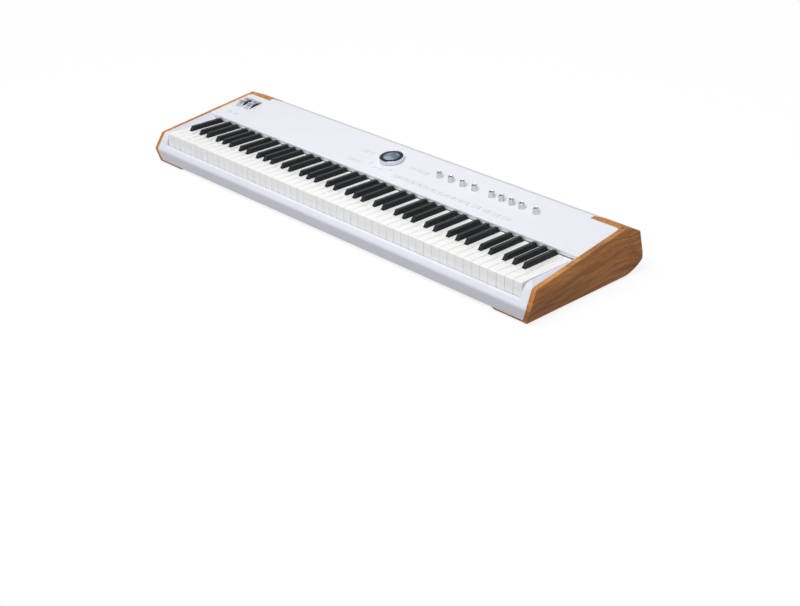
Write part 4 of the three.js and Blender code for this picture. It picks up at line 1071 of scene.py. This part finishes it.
# Dial: a bright turned ring round the fixed round display, which lies under a black-edged lens. The ring's
# sleeve goes down through the deck, and its foot is undercut, so that a dark line parts it from the face.
ring_metal = polished_metal("dial_metal", "DADCE2", 0.24)
ring_profile = np.array(
    [
        (24.0, -8.6),
        (26.0, -8.6),
        (26.0, 0.5),
        (27.6, 0.5),
        (27.6, 1.7),
        (30.0, 2.2),
        (30.0, 11.5),
        (28.7, 11.5),
        (28.7, 8.4),
        (24.0, 8.4),
        (24.0, -8.6),
    ]
)
ring_radii = np.array([0.1, 0.1, 0.2, 0.1, 0.2, 1.05, 0.3, 0.1, 0.1])
dial_ring = on_deck(turned(eased(ring_profile * mm, ring_radii * mm, 10.0), 96), dial_middle)
build("dial_grip", [dial_ring], ring_metal, "dial_ring", ["dial_ring"], crease=40)

lens_profile = np.array([(0.0, 8.8), (28.5, 8.8), (28.5, 11.3), (0.0, 11.3)])
lens_radii = np.array([0.2, 0.6])
picture_height = 11.2 * mm
picture_end = 19.9 * mm
picture_full = 19.1 * mm


def deck_point(middle, height):
    """One place of the deck's own frame in the piano's."""
    points, _ = on_deck((np.array([[0.0, 0.0, height]]), []), middle)
    return points[0]


def display_glass():
    """Black cover with the lit grey-blue picture in its middle, softly brighter to one side."""
    glass = Paint("display_glass")
    centred = glass.place(location=tuple(-deck_point(dial_middle, picture_height)))
    inside = glass.between(glass.vector("LENGTH", centred), 0.0, 1.0, picture_end, picture_full)
    light = glass.noise(centred, 34.0, 1.0)
    picture = glass.ramp(light, [(0.34, colour("4A5968")), (0.5, colour("6A7B8B")), (0.66, colour("8C9CAC"))])
    return glass.surface(
        Base_Color=glass.mix(inside, colour("0B0D10"), picture),
        Emission_Color=picture,
        Emission_Strength=glass.between(inside, 0.0, 0.1),
        Roughness=glass.between(light, 0.1, 0.14),
        Specular_IOR_Level=0.1,
    )


lens = on_deck(turned(eased(lens_profile * mm, lens_radii * mm), 96), dial_middle)
build("display_cover", [lens], display_glass(), "piano", ["display_lens"], crease=40)
dress("display_module", moulded("display_frame_plastic", "1C1D20", 1200.0, 0.5))

# Pitch and modulation wheels: drums side by side on one axle, each with a thumb hollow. The tread and
# the rims are lacquered silver, and the disc inside the rim on either side is coloured near black.
wheel_radius = 32.0 * mm
wheel_width = 18.0 * mm
wheel_edge = 1.2 * mm
wheel_axle_drop = 21.0 * mm
axle_up = 92.9 * mm
hollow_depth = 3.0 * mm
hollow_reach = 0.3
wheel_points = 144
flank_start = 8.0 * mm
flank_full = 8.3 * mm
disc_full = 27.4 * mm
disc_end = 27.8 * mm


def silver_lacquer(name, middle):
    """Fine silver flakes under a clear coat. The colour is near black, without metal or coat, where a point
    lies past the flank's start from the wheel's middle plane, and closer to its axle than the disc's end."""
    paint = Paint(name)
    flakes = paint.noise(paint.place(), 5200.0, 2.0)
    sideways = paint.node("SeparateXYZ", {0: paint.place(location=(-middle, 0, 0))}).outputs["X"]
    flank = paint.between(paint.math("ABSOLUTE", sideways), 0.0, 1.0, flank_start, flank_full)
    axle = deck_point((middle, axle_up), -wheel_axle_drop)
    from_axle = paint.vector("LENGTH", paint.place((0, 1, 1), (0.0, -axle[1], -axle[2])))
    disc = paint.between(from_axle, 1.0, 0.0, disc_full, disc_end)
    # A near-black disc on each side inside the rim: only colour, metal and coat change there, not the shape.
    dark_disc = paint.math("MULTIPLY", flank, disc)
    tread = paint.ramp(flakes, [(0.3, colour("B4B8BE")), (0.7, colour("CDD0D5"))])
    return paint.surface(
        Base_Color=paint.mix(dark_disc, tread, colour("15171A")),
        Metallic=paint.between(dark_disc, 0.85, 0.0),
        Roughness=paint.between(flakes, 0.24, 0.36),
        Coat_Weight=paint.between(dark_disc, 0.4, 0.0),
        Coat_Roughness=0.08,
    )


def wheel_shell():
    """The wheel's outline stacked across its width: a circle pressed in at the top by a smooth thumb hollow,
    half a wave of a cosine."""
    angles = np.linspace(0, 2 * np.pi, wheel_points, endpoint=False)
    away = np.abs((angles - np.pi / 2 + np.pi) % (2 * np.pi) - np.pi)
    hollow = hollow_depth * np.where(away < hollow_reach, (1 + np.cos(away / hollow_reach * np.pi)) / 2, 0)
    radius = wheel_radius - hollow
    outline = np.column_stack([radius * np.cos(angles), radius * np.sin(angles)])
    return along_x(stacked(outline, rows_between(-wheel_width / 2, wheel_width / 2, wheel_edge, wheel_edge)))


for node in ("pitch_wheel", "mod_wheel"):
    wheel = on_deck(wheel_shell(), (middle_x(node), axle_up), -wheel_axle_drop)
    wheel_silver = silver_lacquer(f"lacquer_of_{node}", middle_x(node))
    build(f"silver_{node}", [wheel], wheel_silver, node, [node], crease=40)

# Inner parts: the black moulded wheel housing, the green circuit boards and the power switch, all fixed
# inside the case. They are the CAD's own solids, seen only through the slots and the socket holes.


def circuit_board():
    """Green solder mask with the faint lines of copper tracks under it."""
    board = Paint("solder_mask")
    pattern = {"Vector": board.place(), "Scale": 120.0, "Mortar Size": 0.02}
    shades = {"Color1": colour("1E4D36"), "Color2": colour("225740"), "Mortar": colour("3A7656")}
    tracks = board.node("TexBrick", pattern | shades)
    return board.surface(Base_Color=tracks.outputs["Color"], Roughness=0.4, Coat_Weight=0.2)


board_green = circuit_board()
for node in ("control_board", "contact_board", "main_board"):
    dress(node, board_green)
dress("wheel_housing", moulded("housing_plastic", "1E2023", 1500.0, 0.6))
dress("power_switch", moulded("switch_plastic", "232528", 1500.0, 0.45))

# Rear sockets: a plated nut screwed on round each jack, and black plastic faces of the sockets behind the
# holes in the rear panel. All of them are seen only from behind.
rear_low = front + 345.6 * mm
rear_height = 72.0 * mm
rear_tilt = np.arctan2(heel[0] - shoulder[0], shoulder[1] - heel[1])
jack_x = np.array([-205, -179, -153, -117, -91, -55, -29, 7]) * mm
round_socket_x = np.array([-275, -245]) * mm
flat_socket_x = np.array([-345, -315]) * mm
power_socket_x = -380 * mm
jack_nut = (4.7, 6.4, 0.1, 1.5)
jack_bush = (3.5, 4.5, -3.2, 0.4)
round_socket = (0.9, 7.3, -3.0, -0.8)
power_socket = (1.0, 3.1, -3.0, -0.4)
flat_socket = (12.2, 5.0, -3.2, -2.4, 0.2)
socket_radii = np.array([0.1, 0.3, 0.2])


def on_rear(made, x):
    """A shell moved from the rear panel's own frame, whose third axis points out of it, to a socket."""
    points, faces = made
    y = rear_low + points[:, 1] * -np.sin(rear_tilt) + points[:, 2] * np.cos(rear_tilt)
    z = rear_height + points[:, 1] * np.cos(rear_tilt) + points[:, 2] * np.sin(rear_tilt)
    return np.column_stack([x - points[:, 0], y, z]), faces


def ring(inner, outer, low, high):
    """A flat ring with eased edges, turned about the socket's axis from a profile that closes on itself: its
    inner and outer radius, and its ends counted outwards from the panel, all in millimetres."""
    corners = np.array([(inner, low), (outer, low), (outer, high), (inner, high), (inner, low)])
    return turned(eased(corners * mm, socket_radii * mm), 36)


nut_metal = polished_metal("nut_metal", "C9CCD0", 0.25)
flat_face = cap_shell(*np.array(flat_socket) * mm)
nut_shells = [on_rear(ring(*jack_nut), x) for x in jack_x]
bush_shells = [on_rear(ring(*jack_bush), x) for x in jack_x]
bush_shells += [on_rear(ring(*round_socket), x) for x in round_socket_x]
bush_shells += [on_rear(ring(*power_socket), power_socket_x)]
bush_shells += [on_rear(flat_face, x) for x in flat_socket_x]
build("jack_nuts", nut_shells, nut_metal, "piano", crease=40)
build("socket_bushes", bush_shells, case_plastic, "piano", crease=40)

# Feet: black rubber discs with a rounded lower edge, fixed under the wooden base plates. The piano rests
# on their flat faces.
foot_rubber = moulded("foot_rubber", "1B1C1E", 900.0, 0.8)
foot_profile = np.array([(0.0, 0.0), (11.6, 0.0), (12.0, 4.7), (0.0, 4.7)])
foot_radii = np.array([0.8, 0.1])
foot_points, foot_faces = turned(eased(foot_profile * mm, foot_radii * mm), 40)
for place in ("front_left", "front_right", "rear_left", "rear_right"):
    node = f"foot_{place}"
    low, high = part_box(node)
    middle = [(low.x + high.x) / 2, (low.y + high.y) / 2, 0.0]
    foot = (foot_points + middle, foot_faces)
    build(f"rubber_{node}", [foot], foot_rubber, "piano", [node], crease=40)
